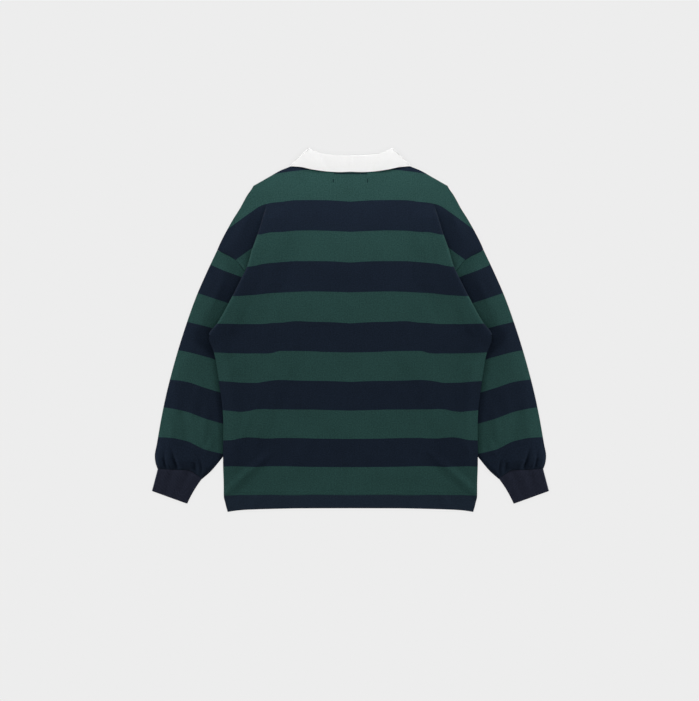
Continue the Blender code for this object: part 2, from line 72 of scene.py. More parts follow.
# %% [markdown]
# ## Camera
#
# A flat-lay picture is taken from straight above. A camera at Blender's zero rotation already looks down
# with +Y up, so only its height and lens matter. A long lens far away keeps the thick and thin parts of
# the shirt at the same scale. The picture is a little taller than wide, so its height spans the sensor.

# %% Camera straight above
PICTURE_HEIGHT = 1.5422  # metres of table from the top to the bottom of the picture
SENSOR = 36.0
LENS = 90.0
CAMERA_X, CAMERA_Y = -0.0021, -0.0457

camera_data = bpy.data.cameras.new("camera")
camera_data.sensor_width = SENSOR
camera_data.lens = LENS
camera = bpy.data.objects.new("camera", camera_data)
camera.location = (CAMERA_X, CAMERA_Y, PICTURE_HEIGHT * LENS / SENSOR)
bpy.context.scene.collection.objects.link(camera)
bpy.context.scene.camera = camera
bpy.context.scene.view_settings.view_transform = "Standard"
print("camera height:", round(camera.location.z, 3))

# %% [markdown]
# ## Curves through a few measured points
#
# A pattern cutter draws an edge through a handful of measured points and lets the pencil swing between
# them. Straight lines between the points would leave corners in the cloth. The curve used here passes
# through every point and never swings past one, so an edge stays inside its solid.

# %% Smooth curves from short tables
def smooth(share):
    """0 to 1 with level ends."""
    share = np.clip(share, 0.0, 1.0)
    return share * share * (3.0 - 2.0 * share)


def arch(share):
    """0 to 1 as a quarter of a circle rises: steep first, then level."""
    return np.sin(np.clip(share, 0.0, 1.0) * math.pi / 2)


def lengths_to(points):
    """Length of the line through points from the first to each of them."""
    steps = np.linalg.norm(np.diff(points, axis=0), axis=1)
    return np.concatenate(([0.0], np.cumsum(steps)))


def curve(points):
    """A function that follows (place, value) points smoothly and stays level beyond them."""
    x, y = np.array(sorted(points), float).T
    steps, rates = np.diff(x), np.diff(y) / np.diff(x)
    slope = np.concatenate(([rates[0]], np.zeros(len(x) - 2), [rates[-1]]))
    for number in range(1, len(x) - 1):
        before, after = rates[number - 1], rates[number]
        if before * after > 0:
            near = 2 * steps[number] + steps[number - 1]
            far = steps[number] + 2 * steps[number - 1]
            slope[number] = (near + far) / (near / before + far / after)

    def at(place):
        place = np.clip(np.asarray(place, float), x[0], x[-1])
        first = np.clip(np.searchsorted(x, place, side="right") - 1, 0, len(x) - 2)
        width = steps[first]
        t = (place - x[first]) / width
        return ((1 + 2 * t) * (1 - t) ** 2 * y[first] + t * (1 - t) ** 2 * width * slope[first]
                + t * t * (3 - 2 * t) * y[first + 1] + t * t * (t - 1) * width * slope[first + 1])
    return at


print("halfway between 0 and 2 over a hill of 1:", curve([(0, 0), (1, 1), (2, 0)])(0.5))

# %% [markdown]
# ## Creases
#
# Cloth that was folded, worn and smoothed out again keeps a few soft ridges and troughs. Cloth simulation
# would put them anywhere; listed one by one, each one is where the garment really pulls. One crease is a line
# between two points, with a bow to bend it, a half width and a height. It swells up from nothing, dies out
# again, and narrows towards its ends.

# %% Height of listed creases
CREASE_ENDS = 0.38  # share of a crease's length in which it swells or dies out
CREASE_TIP = 0.55  # width of a crease at its ends, as a share of its width in the middle


def crease_height(x, y, creases):
    """Height that a table of (x0, y0, x1, y1, bow, half width, height), all in mm, adds at each place."""
    total = np.zeros(np.broadcast(x, y).shape)
    for x0, y0, x1, y1, bow, half_width, height in np.array(creases, float).reshape(-1, 7) * MM:
        run = math.hypot(x1 - x0, y1 - y0)
        along = ((x - x0) * (x1 - x0) + (y - y0) * (y1 - y0)) / run ** 2
        inside = np.clip(along, 0.0, 1.0)
        away = ((x - x0) * (y1 - y0) - (y - y0) * (x1 - x0)) / run - 4 * bow * inside * (1 - inside)
        swell = smooth(along / CREASE_ENDS) * smooth((1 - along) / CREASE_ENDS)
        reach = half_width * (CREASE_TIP + (1 - CREASE_TIP) * swell)
        total += height * swell * smooth(1 - np.abs(away) / reach)
    return total


def mirrored(creases):
    """The same creases on both sides of the centre line."""
    return [*creases, *((-x0, y0, -x1, y1, -bow, half_width, height)
                        for x0, y0, x1, y1, bow, half_width, height in creases)]

# %% [markdown]
# ## From a grid to cloth
#
# Every panel starts as Blender's grid primitive, because rows and columns of a grid are what courses and
# wales are to a knit. Its points are laid in place by a function, and what isn't cloth is deleted. Each
# point also keeps a mark: how far it is across the cloth and which stripe it lies in. The marks are the UV
# map, so the dye follows the cloth through its folds. Solidify gives the wall its thickness and a small
# bevel rounds its edges.

# %% Lay a grid of points as a shell of cloth
WALL = 1.2 * MM  # jersey and collar cloth
MERGE = 0.02 * MM  # points closer than this become one
EDGE_ROUND = 0.42 * MM
SHARP = math.radians(60)  # an edge that turns more than this is rounded
SMOOTHED = math.radians(50)  # one that turns less than this is shaded smooth
SHIFT_Y = 0.5 * MM  # the measured tables are this much below the solids
MARKS = "cloth"  # the UV map that holds the marks


def select_only(piece):
    bpy.ops.object.select_all(action="DESELECT")
    piece.select_set(True)
    bpy.context.view_layer.objects.active = piece


def add_shape(add, name, **settings):
    """Adds one of Blender's own shapes, by its operator, and names it."""
    bpy.ops.object.select_all(action="DESELECT")
    add(**settings)
    added = bpy.context.object
    added.name = added.data.name = name
    return added


def apply_modifier(piece, kind, **settings):
    select_only(piece)
    bpy.ops.object.modifier_add(type=kind)
    modifier = piece.modifiers[-1]
    for setting, value in settings.items():
        setattr(modifier, setting, value)
    bpy.ops.object.modifier_apply(modifier=modifier.name)


def edit(piece, kind="VERT", action="SELECT"):
    """Opens a piece in edit mode with all of it selected, or nothing."""
    select_only(piece)
    bpy.ops.object.mode_set(mode="EDIT")
    bpy.ops.mesh.select_mode(type=kind)
    bpy.ops.mesh.select_all(action=action)


def stop_editing():
    bpy.ops.object.mode_set(mode="OBJECT")


def delete_points(piece, gone):
    """Deletes the vertices that gone marks as true."""
    edit(piece, action="DESELECT")
    stop_editing()
    piece.data.vertices.foreach_set("select", gone)
    bpy.ops.object.mode_set(mode="EDIT")
    bpy.ops.mesh.delete(type="VERT")
    stop_editing()


def round_edges(piece, width, sharp):
    """Bevels the edges that turn by more than the angle sharp."""
    apply_modifier(piece, "BEVEL", width=width, segments=2, limit_method="ANGLE", angle_limit=sharp)


def lay_cloth(name, points, marks, wall=WALL, closed=False, rounded=True):
    """A shell of cloth whose middle passes through points[row, column], with none where they aren't numbers.

    A closed piece is a tube whose last column lies on its first.
    """
    rows, columns = points.shape[:2]
    cloth = add_shape(bpy.ops.mesh.primitive_grid_add, name, x_subdivisions=columns - 1,
                      y_subdivisions=rows - 1, size=1)
    mesh = cloth.data
    shifted = np.nan_to_num(points) + (0.0, SHIFT_Y, 0.0)
    mesh.vertices.foreach_set("co", shifted.reshape(-1))
    corners = np.zeros(len(mesh.loops), np.int32)
    mesh.loops.foreach_get("vertex_index", corners)
    layer = mesh.uv_layers[0]
    layer.name = MARKS
    layer.data.foreach_set("uv", np.nan_to_num(marks).reshape(-1, 2)[corners].reshape(-1))
    mesh.update()
    delete_points(cloth, np.isnan(points[..., 0]).reshape(-1))

    edit(cloth)
    bpy.ops.mesh.remove_doubles(threshold=MERGE)
    if closed:
        bpy.ops.mesh.normals_make_consistent(inside=False)
    stop_editing()
    apply_modifier(cloth, "SOLIDIFY", thickness=wall, offset=0.0)
    if rounded:
        round_edges(cloth, EDGE_ROUND, SHARP)
    select_only(cloth)
    bpy.ops.object.shade_smooth_by_angle(angle=SMOOTHED)
    print(f"{name}: {rows} rows of {columns}, {len(cloth.data.polygons)} faces")
    return cloth

# %% [markdown]
# ## The outline of the body
#
# The shirt is cut wide and its shoulders drop over the arms. Laid flat with the sleeves brought down, the
# extra width folds into a pleat: the body runs out to a fold edge, turns under, runs back, and comes out
# again as the dropped shoulder, which ends at the armhole seam. Both sides are alike, so the tables hold
# one: a is the distance from the centre line. They are the measurements that the solids were cut by, but
# for a millimetre or two where a soft edge swings in or out.

# %% Edges of the body
UNDERARM_Y = -0.0121
CROSSING_Y = 0.1010  # the armhole seam goes out of sight under the fold here
APEX_A, APEX_Y = 0.1835, 0.2776  # the point of the pleat
PLEAT_GROWS = 0.035  # from its point, the pleat is a full fold this far down
HEM_Y, HEM_TOP = -0.3928, -0.3555
CORNER_A, CORNER_Y = 0.2134, 0.3157  # the shoulder's corner

body_edge = curve([
    (-0.4000, 0.2700), (-0.3938, 0.2720), (-0.3872, 0.2738), (-0.3806, 0.2753), (-0.3740, 0.2772),
    (-0.3690, 0.2783), (-0.3443, 0.2786), (-0.2915, 0.2798), (-0.2044, 0.2794), (-0.1190, 0.2882),
    (-0.0540, 0.2986), (-0.0400, 0.3033), (-0.0270, 0.3087), (-0.0121, 0.3105), (0.0154, 0.2911),
    (0.0744, 0.2587), (0.1155, 0.2380), (0.1390, 0.2268), (0.1750, 0.2162), (0.2114, 0.2032),
    (0.2776, 0.1835),
])
shoulder_edge = curve([
    (0.1752, 0.2926), (0.1903, 0.2860), (0.2167, 0.2724), (0.2431, 0.2574), (0.2695, 0.2409),
    (0.2827, 0.2339), (0.2959, 0.2264), (0.3091, 0.2171), (0.3157, 0.2134),
])
ARMHOLE = ((0.2926, 0.1752), (0.2521, 0.1529), (0.2321, 0.1283), (0.2210, 0.1140), (0.2086, 0.1010))
armhole_edge = curve([(y, a) for a, y in ARMHOLE])
inner_fold = curve([(0.1010, 0.2054), (0.2776, 0.1835)])
return_seam = curve([(-0.0121, 0.3048), (0.1010, 0.2086)])

SHOULDER_TOP = [(0.1300, 0.3592), (0.1553, 0.3487), (0.1786, 0.3355), (0.2017, 0.3223), (0.2134, 0.3157)]
back_top = curve([(0.0, 0.3525), (0.0491, 0.3535), (0.0832, 0.3580), (0.1180, 0.3655), *SHOULDER_TOP])
front_top = curve([(0.0, 0.2862), (0.0320, 0.2872), (0.0662, 0.3050), (0.1003, 0.3370),
                   (0.1180, 0.3655), *SHOULDER_TOP])
HEM_CORNER_A = 0.2700
hem_dip = curve([(0.0, 0.0), (0.110, 0.0003), (0.165, 0.0014), (0.220, 0.0030), (0.2464, 0.0048),
                 (HEM_CORNER_A, 0.0082)])
HEM_DIP_FADES = 0.060  # rows above the hem share its dip over this height


def dipped(a, y):
    """The y of a row, lowered towards the corners of the hem."""
    return y - hem_dip(a) * smooth(1 - (y - HEM_Y) / HEM_DIP_FADES)


print("chest:", round(2 * body_edge(UNDERARM_Y), 3), "hem:", round(2 * body_edge(HEM_Y), 3))

# %% [markdown]
# ## How high the body lies
#
# Back and front lie on each other as a pair. The pair rests on the table at its middle, and climbs two
# cloths wherever the sleeve or the pleat lies under it, one where the placket does. A few broad folds lift
# back and front together: they are what a hand leaves when it smooths a shirt on a table.

# %% Layers and broad folds
GAP = 0.5 * MM  # air between two layers
PITCH = WALL + GAP
PAIR = GAP / 2 + WALL  # middle of the pair to its outer face
BEND = PITCH  # radius of the pleat's inner turn
FLAT = PAIR  # height of the pair's middle where nothing lies below it
ROLL = 3.4 * MM  # the outer fold isn't pressed: its radius is this much larger
ROLL_WIDTH = 0.046  # how far in from the fold the roll reaches
SIDE_WIDTH = 0.070  # below the underarm the roll is broader, and its edge slopes down
EDGE_DROPS, EDGE_TURNS = 5.0 * MM, 0.030
side_roll = curve([(-0.350, 0.0), (-0.300, 2.4), (-0.200, 5.0), (-0.100, 6.0), (-0.0121, 2 * ROLL / MM)])
UNDER_MARGIN, UNDER_RAMP = 0.026, 0.040  # the pair climbs on to what lies below over this ramp
RETURN_FADES = 0.045  # the pleat dies out over this length below the underarm
SLEEVE_LEAVES_Y, SLEEVE_LEAVES = -0.325, 0.040  # where the sleeve comes out from under the side
PLACKET_FROM_Y, PLACKET_RISES = 0.100, 0.030  # the placket lifts the pair by one layer
PLACKET_EDGE_A, PLACKET_RAMP = 0.056, 0.0355
NECK_FROM_Y, NECK_RISES = 0.195, 0.0476  # the collar's front half props the neck up
NECK_EDGE_A, NECK_RAMP = 0.180, 0.045
SIDE_BEGINS = 0.050  # the pleat's roll turns into the side's roll over this length

sleeve_below = curve([(-0.2850, 0.2560), (-0.2409, 0.2398), (-0.1771, 0.2134), (-0.1133, 0.1826),
                      (-0.0473, 0.1595), (0.0050, 0.1790), (0.0560, 0.1960), (0.1010, 0.2054),
                      (0.2776, 0.1835)])
BROAD_FOLDS = [  # x0, y0, x1, y1, bow, half width, height, all in mm
    (156, -253, 305, -385, 2, 16.5, 3.6),
    (190, -345, 225, -405, 2, 16, 1.2),
    (80, -210, 165, -350, 10, 30, 1.3),
    (98, 125, 192, -55, -12, 30, 1.5),
    (308, -44, 255, -58, 2, 20, 1.8),
]
BROAD_FOLDS = mirrored(BROAD_FOLDS) + [
    (-150, 50, 30, 15, 8, 34, 0.9),
    (130, -145, -50, -115, 6, 30, 0.8),
    (-20, -240, -170, -215, -10, 26, 0.9),
]


def pleat_lift(y):
    """0 at the pleat's point, 1 where it is a full fold, and dying out below the underarm."""
    if y < UNDERARM_Y:
        return smooth(1 - (UNDERARM_Y - y) / RETURN_FADES)
    return smooth((APEX_Y - y) / PLEAT_GROWS)


def under_ramp(a, edge):
    return smooth(1 + (a - edge + UNDER_MARGIN) / UNDER_RAMP)


def fold_end(y):
    """Where the flat part of the body ends and its fold, or its side seam, begins."""
    if y < UNDERARM_Y:
        return body_edge(dipped(HEM_CORNER_A, y))
    turn = math.acos(1 - 2 * pleat_lift(y))
    return body_edge(y) - (BEND + ROLL + PAIR) * (math.sin(turn) if turn < math.pi / 2 else 1.0)


def pair_height(a, y):
    """Height of the middle between back and front, over the sleeve, the pleat and the placket."""
    lift = pleat_lift(y)
    sleeve_lift = lift if y > UNDERARM_Y else smooth((y - SLEEVE_LEAVES_Y) / SLEEVE_LEAVES)
    return_edge = return_seam(y) if y < CROSSING_Y else inner_fold(y)
    sleeve = sleeve_lift * under_ramp(a, sleeve_below(y))
    pleat = lift * under_ramp(a, return_edge)
    placket = smooth((y - PLACKET_FROM_Y) / PLACKET_RISES) * smooth((PLACKET_EDGE_A - a) / PLACKET_RAMP)
    neck = smooth((y - NECK_FROM_Y) / NECK_RISES) * smooth((NECK_EDGE_A - a) / NECK_RAMP)
    rolled = side_roll(y) * MM if y < UNDERARM_Y else 2 * ROLL * lift
    inside = fold_end(y) - a
    below = smooth((UNDERARM_Y - y) / SIDE_BEGINS)
    width = ROLL_WIDTH * (1 - below) + SIDE_WIDTH * below
    slopes_down = EDGE_DROPS * below * smooth(rolled / (2 * ROLL))
    roll = rolled * smooth(1 - inside / width) - slopes_down * smooth(1 - inside / EDGE_TURNS)
    return FLAT + 2 * PITCH * (sleeve + pleat) + PITCH * np.maximum(placket, neck) + roll


print("height over the pleat in mm:", round(pair_height(0.24, 0.05) / MM, 2))

# %% [markdown]
# ## Stripes
#
# The stripes are knitted in, so they belong to the cloth and not to the picture. Each place of a panel is
# marked with its stripe number: 0 to 1 in the first green stripe, 1 to 2 in the first navy one, and so on
# down to the hem. The cloth drifts a little as it lies, so each boundary has its own drift away from the
# centre line, a few millimetres at most until the shoulder, where the cloth runs down over the arm.

# %% Stripe numbers on the body
STRIPE_TOPS = (0.3490, 0.2809, 0.2144, 0.1471, 0.0815, 0.0134, -0.0506, -0.1152, -0.1783,
               -0.2406, -0.3026, -0.3642, -0.4275)
DRIFT_PLACES = (0.0, 0.055, 0.084, 0.119, 0.154, 0.172, 0.189, 0.207, 0.2244, 0.242, 0.260, 0.295)
STRIPE_DRIFTS = (  # mm that each boundary rises at those distances from the centre
    (0.0, 1.0, 2.5, -0.4, -5.0, -8.7, -12.5, -17.0, -23.0, -31.0, -41.0, -55.0),
    (0.0, 3.1, 3.4, 3.2, -0.7, -2.3, -6.9, -15.4, -27.5, -41.7, -54.3, -80.6),
    (0.0, 2.6, 3.2, 2.7, -0.7, -1.4, -4.7, -9.3, -14.8, -18.7, -25.7, -36.7),
    (0.0, 3.0, 3.1, 3.1, 0.7, -1.2, -2.9, -7.1, -10.2, -12.7, -13.1, -19.1),
    (0.0, 1.6, 2.1, 1.2, -0.8, -1.5, -3.3, -5.6, -6.9, -8.2, -9.0, -10.9),
    (0.0, 3.1, 3.6, 5.0, 1.4, 0.6, -1.1, -1.6, -1.4, -1.6, -1.0, -0.6),
    (0.0, 1.0, 2.6, 3.3, 3.4, -1.2, -2.3, -2.0, -2.3, -2.0, -1.7, 0.2),
    (0.0, 2.0, 2.2, 3.0, 4.4, 3.1, 0.7, -2.3, -2.0, -1.5, 0.3, 2.5),
    (0.0, 1.3, 2.3, 2.3, 2.6, 2.8, 3.4, 2.8, -1.1, -2.7, -0.8, 1.6),
    (0.0, 0.5, 1.2, 2.0, 2.2, 1.2, 1.1, 2.8, 3.8, 1.8, -2.2, -3.6),
    (0.0, 0.3, 0.5, 1.3, 2.1, 1.9, 1.6, 0.6, 1.0, 1.8, 2.2, 0.7),
    (0.0, 0.7, 0.9, -0.1, 0.2, 0.8, 0.4, 0.5, 0.4, 0.5, -0.4, -0.6),
    (0.0,) * 12,
)
STRIPE = 0.064  # the usual height of a stripe
boundary_drifts = [curve(list(zip(DRIFT_PLACES, drifts))) for drifts in STRIPE_DRIFTS]


def stripe_number(y, boundaries, first):
    """Stripe number at y between boundaries listed from the top; the topmost has the number first."""
    number = np.full(np.shape(y), float(first))
    for upper, lower in zip(boundaries, boundaries[1:]):
        number += np.clip((upper - y) / (upper - lower), 0.0, 1.0)
    return number


def body_stripes(a, y):
    a = np.abs(a)
    boundaries = [top + drift(a) * MM for top, drift in zip(STRIPE_TOPS, boundary_drifts)]
    return stripe_number(y, [boundaries[0] + STRIPE, *boundaries], -1)


# On the dropped shoulder the stripes run down over the arm at one slant.
DROP_SLANT = math.radians(36)
DROP_FIRST = 0.3369  # distance of boundary 1 from the origin, square to the slant
DROP_STRIPE = 0.065


def drop_stripes(a, y):
    down = DROP_FIRST - (np.abs(a) * math.sin(DROP_SLANT) + y * math.cos(DROP_SLANT))
    return 1 + down / DROP_STRIPE


print("stripe number at the centre of the chest:", round(float(body_stripes(0.0, 0.10)), 2))

# %% [markdown]
# ## Rows of the body
#
# A row runs from the centre line to the edge. At the pleat it goes on through five stretches: the main
# part, a turn under, the return, a turn back out, and the dropped shoulder. Each place carries the
# direction that the cloth faces, so back and front are the same row moved out to either side. It also
# carries how loose it lies, from 0 at a seam or a fold to 1 in the open, for the creases.

# %% One row of the pair, from the centre line outwards
EDGE_LOOSENS = 0.030  # the cloth lies loose this far in from a seam or a fold
FOLD_SHADE = 0.012  # under the fold's edge the shoulder stays flat this far out
NECK_TIGHTENS = 0.6  # the share of the rows at the top over which the cloth grows tight


def drop_edge(y):
    """Outer edge of the dropped shoulder: a fold down to the armhole seam, then that seam."""
    return shoulder_edge(y) if y > ARMHOLE[0][1] else armhole_edge(y)


def lay_row(*values):
    """Rows of (a, y, z, facing a, facing z, looseness, stripe) from arrays and single numbers."""
    return np.stack(np.broadcast_arrays(*values), axis=-1)


def bend(a, z, radius, angles, y, stripe):
    """Places round a fold about (a, z); a radius below 0 turns the other way."""
    return lay_row(a + radius * np.sin(angles), y, z + radius * np.cos(angles), np.sin(angles),
                   np.cos(angles), 0, stripe)


def pleated_row(y, steps):
    """Half a row below the pleat's point. It ends sooner where it has no pleat or no shoulder."""
    main_steps, arc_steps, return_steps, drop_steps = steps
    pleated = y >= UNDERARM_Y
    held = pleat_lift(y) if pleated else 1.0
    end = fold_end(y)
    a = np.linspace(0.0, end, main_steps + 1)
    level = dipped(a, y)
    loose = 1 - held * smooth(1 - (end - a) / EDGE_LOOSENS)
    main = lay_row(a, level, pair_height(a, y), 0, 1, loose, body_stripes(a, level))
    if not pleated:
        return main

    radius, turn = BEND + ROLL, math.acos(1 - 2 * held)
    main[-1, 2] = top = FLAT + (radius + BEND) * (1 - math.cos(turn))
    turned = np.arange(1, arc_steps + 1)
    under = bend(end, top - radius, radius, turn * turned / arc_steps, y, main[-1, 6])
    back_in = np.repeat(under[-1:], return_steps, axis=0)
    shares = np.arange(1, return_steps + 1) / return_steps
    if y < CROSSING_Y:
        back_in[:, 0] -= (end - min(return_seam(y), end)) * shares
        return np.concatenate((main, under, back_in))

    inner = inner_fold(y) + BEND + PAIR
    run = max(0.0, end - inner) if turn > math.pi - 1e-6 else 0.0
    drop_a = end - run + (radius + BEND) * math.sin(turn)
    drop_stripe = drop_stripes(drop_a, y)
    back_in[:, 0] -= run * shares
    back_in[:, 6] += (drop_stripe - main[-1, 6]) * shares
    out_again = bend(drop_a, FLAT + BEND, -BEND, turn * (1 - turned / arc_steps), y, drop_stripe)
    edge = drop_edge(y)
    a = drop_a + np.arange(1, drop_steps + 1) / drop_steps * max(0.0, edge - drop_a)
    loose = ((1 - held * smooth(1 - (a - drop_a - FOLD_SHADE) / EDGE_LOOSENS))
             * smooth((edge - a) / EDGE_LOOSENS))
    drop = lay_row(a, y, FLAT, 0, 1, loose, drop_stripes(a, y))
    return np.concatenate((main, under, back_in, out_again, drop))


def top_row(share, neck, steps):
    """Half a row between the pleat's point (share 0) and the neck and shoulder edge (share 1)."""
    main_steps, arc_steps, return_steps, drop_steps = steps
    column = np.linspace(0.0, 1.0, main_steps + 1)
    a = column * ((1 - share) * APEX_A + share * CORNER_A)
    y = (1 - share) * APEX_Y + share * neck(column * CORNER_A)
    height = np.array([pair_height(one, level) for one, level in zip(a, y)])
    loose = smooth((1 - share) / NECK_TIGHTENS)
    main = lay_row(a, y, height, 0, 1, loose, body_stripes(a, y))
    folded = np.repeat(main[-1:], 2 * arc_steps + return_steps, axis=0)

    column = np.arange(1, drop_steps + 1) / drop_steps
    edge_y = (1 - share) * APEX_Y + share * CORNER_Y
    edge = shoulder_edge(edge_y)
    a, y, z = main[-1, :3, None] + column * (np.array((edge, edge_y, FLAT)) - main[-1, :3])[:, None]
    stripes = body_stripes(a, y) * (1 - column) + drop_stripes(a, y) * column
    drop = lay_row(a, y, z, 0, 1, loose * smooth((edge - a) / EDGE_LOOSENS), stripes)
    return np.concatenate((main, folded, drop))


print("places in a row:", len(pleated_row(0.15, (10, 4, 3, 5))))

# %% [markdown]
# ## Back and front panels
#
# The back is what shows, so it gets a point every few millimetres, a little air under it, and its own
# creases. The front lies pressed between the back and the table: it follows the broad folds, and needs
# fewer points. Both panels come from the same rows, so they can't pass through each other.

# %% Creases of the back
AIR = 0.9 * MM  # the back lies this much looser than its solid
LOWEST = -0.15 * MM  # the deepest that a trough may press on the front panel
HEM_STEP = 0.45 * MM  # the turned-up hem
DROP_SWELL, DROP_RISES = 3.0 * MM, 0.028  # the shoulder beside the pleat, and how soon it is up
SEAM_DIPS, DIPS_CHANGE = 0.008, 0.150  # it dips steeply to the armhole seam, gently above this y

BACK_CREASES = mirrored([
    (165, -271, 280, -367, 2, 7, -0.8),
    (110, 255, 190, 120, -4, 18, 1.2),
    (278, 15, 215, -25, 3, 13, 1.5),
    (280, -75, 220, -110, 3, 14, 1.4),
    (205, 290, 256, 162, -3, 16, 1.2),
    (240, 60, 283, -35, 3, 12, 1.1),
    (186, 82, 248, 18, -3, 10, -0.8),
    (170, 65, 230, 2, -4, 14, 0.9),
    (268, -50, 238, -98, 3, 16, 1.3),
    (156, -30, 185, -125, 2, 17, 0.8),
    (178, -105, 220, -198, 1, 15, 0.7),
    (212, -175, 250, -262, -1, 15, 0.9),
    (238, -245, 285, -296, -2, 13, 0.8),
]) + [
    (-145, 325, -55, 285, 5, 20, 0.7),
    (152, 318, 50, 270, -6, 22, 0.8),
    (-65, 230, 80, 215, 6, 20, -0.6),
    (165, 185, 45, 150, 5, 20, 0.6),
    (-175, 170, -40, 125, -6, 22, 0.7),
    (-115, 10, -20, -45, 4, 18, -0.5),
    (20, -60, 140, -90, 5, 20, -0.6),
    (-150, -140, -35, -175, 6, 19, 0.6),
    (65, -175, 170, -235, -4, 18, -0.5),
    (-90, -270, 35, -290, 5, 18, 0.5),
    (15, -315, 135, -330, -4, 16, 0.6),
    (-36, 344, 36, 344, 0, 4.5, -1),
    (-5, 335, 9, 296, 1, 20, 0.9),
]
print("creases on the back:", len(BACK_CREASES))

# %% Make both panels
HEM_TURNS = 0.1 * MM  # half the height of the hem's step
TOP_ROW_Y = 0.268  # from here the rows follow the neck and the shoulder
ROW_STOPS = (HEM_Y, HEM_TOP - HEM_TURNS, HEM_TOP + HEM_TURNS, UNDERARM_Y, CROSSING_Y, ARMHOLE[0][1],
             TOP_ROW_Y)
BACK_GRID = ((76, 7, 7, 15), 3.7 * MM, 20)  # places along each stretch, row spacing, rows at the top
FRONT_GRID = ((46, 6, 5, 9), 6.0 * MM, 14)


def row_levels(spacing):
    levels = [ROW_STOPS[0]]
    for low, high in zip(ROW_STOPS, ROW_STOPS[1:]):
        count = max(1, math.ceil((high - low) / spacing))
        levels += [low + (high - low) * step / count for step in range(1, count + 1)]
    return levels


def shoulder_swell(a, y):
    """How far one row of the dropped shoulder swells up beside the pleat, before it dips to its edge."""
    dips = SEAM_DIPS + (EDGE_LOOSENS - SEAM_DIPS) * smooth((y - DIPS_CHANGE) / EDGE_LOOSENS)
    rises = arch((a - body_edge(y) + ROLL) / DROP_RISES)
    return DROP_SWELL * pleat_lift(y) * rises * smooth((drop_edge(y) - a) / dips)


def panel(name, neck, side, grid, creases=(), air=0.0):
    """A body panel; side is 1 for the back and -1 for the front."""
    steps, spacing, top_steps = grid
    rows = ([pleated_row(y, steps) for y in row_levels(spacing)]
            + [top_row(share, neck, steps) for share in np.linspace(0, 1, top_steps + 1)])
    half = np.full((len(rows), len(rows[-1]), 7), np.nan)
    for row, filled in zip(half, rows):
        row[:len(filled)] = filled
        if side > 0 and row[0, 1] > CROSSING_Y:
            row[-steps[-1]:, 2] += shoulder_swell(row[-steps[-1]:, 0], row[0, 1])
    lengths = np.nan_to_num(np.linalg.norm(np.diff(half[..., :3], axis=1), axis=2))
    across = np.concatenate((np.zeros((len(half), 1)), np.cumsum(lengths, axis=1)), axis=1)
    left = half[:, :0:-1] * (-1, 1, 1, -1, 1, 1, 1)
    x, y, z, face_x, face_z, loose, stripe = np.moveaxis(np.concatenate((left, half), axis=1), 2, 0)
    across = np.concatenate((-across[:, :0:-1], across), axis=1)

    open_edge = (y < UNDERARM_Y) | (y > APEX_Y)
    z = z + crease_height(x, y, BROAD_FOLDS) * np.where(open_edge, 1.0, loose)
    z = z + loose * np.maximum(air + crease_height(x, y, creases), LOWEST)
    out = side * (GAP + WALL) / 2 + np.where((side > 0) & (y < HEM_TOP), HEM_STEP, 0.0)
    points = np.stack((x + out * face_x, y, z + out * face_z), axis=2)
    return lay_cloth(name, points, np.stack((across, stripe), axis=2))


back = panel("back", back_top, 1, BACK_GRID, BACK_CREASES, AIR)
front = panel("front", front_top, -1, FRONT_GRID)

# %% [markdown]
# ## Sleeves
#
# A sleeve is a tube pressed flat. Its outer and inner edges are two curves down the arm, and a ring of
# points joins them: across the top, round the inner edge, back along the underside and round the outer
# edge. The part under the body stays flat. Outside it the cloth lies looser, and above the cuff it is
# gathered, because the sleeve is wider than the band it is sewn to.

# %% Shape of the sleeve
TUBE = 2 * WALL + GAP
SEAM = 0.1 * MM  # the shells close the seams that the solids leave open
SEAM_GROOVE = 1.0 * MM  # but away from its ends the thread pulls a seam into a fine groove
SEAM_ENDS = 0.035  # share of a seam at each end without groove or allowance
GROOVE_OPENS = 0.06
FOLD_ROOM = 0.8 * MM  # the sleeve's inner fold keeps this clear of the body's at the armhole
ALONG_SLEEVE = np.array((0.62, -0.78))  # the way down the arm at the armhole, and at the cuff
ALONG_CUFF = np.array((0.35, -0.94))
SLEEVE_RINGS = (  # outer a, outer y, inner a, inner y, armhole bow, cuff bow
    (0.2926, 0.1752, 0.2086, 0.1010, 1.00, 0.0),
    (0.3166, 0.1243, 0.1960, 0.0560, 0.55, 0.0),
    (0.3395, 0.0715, 0.1790, 0.0050, 0.20, 0.0),
    (0.3608, 0.0121, 0.1595, -0.0473, 0.0, 0.0),
    (0.3777, -0.0407, 0.1720, -0.0905, 0.0, 0.0),
    (0.3927, -0.0935, 0.1930, -0.1360, 0.0, 0.0),
    (0.4059, -0.1463, 0.2160, -0.1870, 0.0, 0.0),
    (0.4167, -0.1991, 0.2414, -0.2390, 0.0, 0.0),
    (0.4257, -0.2519, 0.2794, -0.2783, 0.0, 0.15),
    (0.4299, -0.2783, 0.3027, -0.3047, 0.0, 0.5),
    (0.4284, -0.2915, 0.3148, -0.3175, 0.0, 0.8),
    (0.4238, -0.3058, 0.3263, -0.3284, 0.0, 1.0),
)
CUFF_SEAM = ((0.4238, -0.3058), (0.3784, -0.3084), (0.3564, -0.3091), (0.3405, -0.3176), (0.3263, -0.3284))


def plan_curve(points):
    """A smooth line through points in plan, by share of its length."""
    places = lengths_to(points)
    parts = [curve(list(zip(places / places[-1], column))) for column in zip(*points)]
    return lambda share: np.stack([part(share) for part in parts], axis=-1)


def seam_bow(points, across):
    """How far a seam strays from the straight line between its ends."""
    across = np.asarray(across)[..., None]
    straight = np.array(points[0]) * (1 - across) + np.array(points[-1]) * across
    seam = plan_curve(points)(across[..., 0])
    if points is ARMHOLE:
        seam[..., 0] = armhole_edge(seam[..., 1])
    return seam - straight


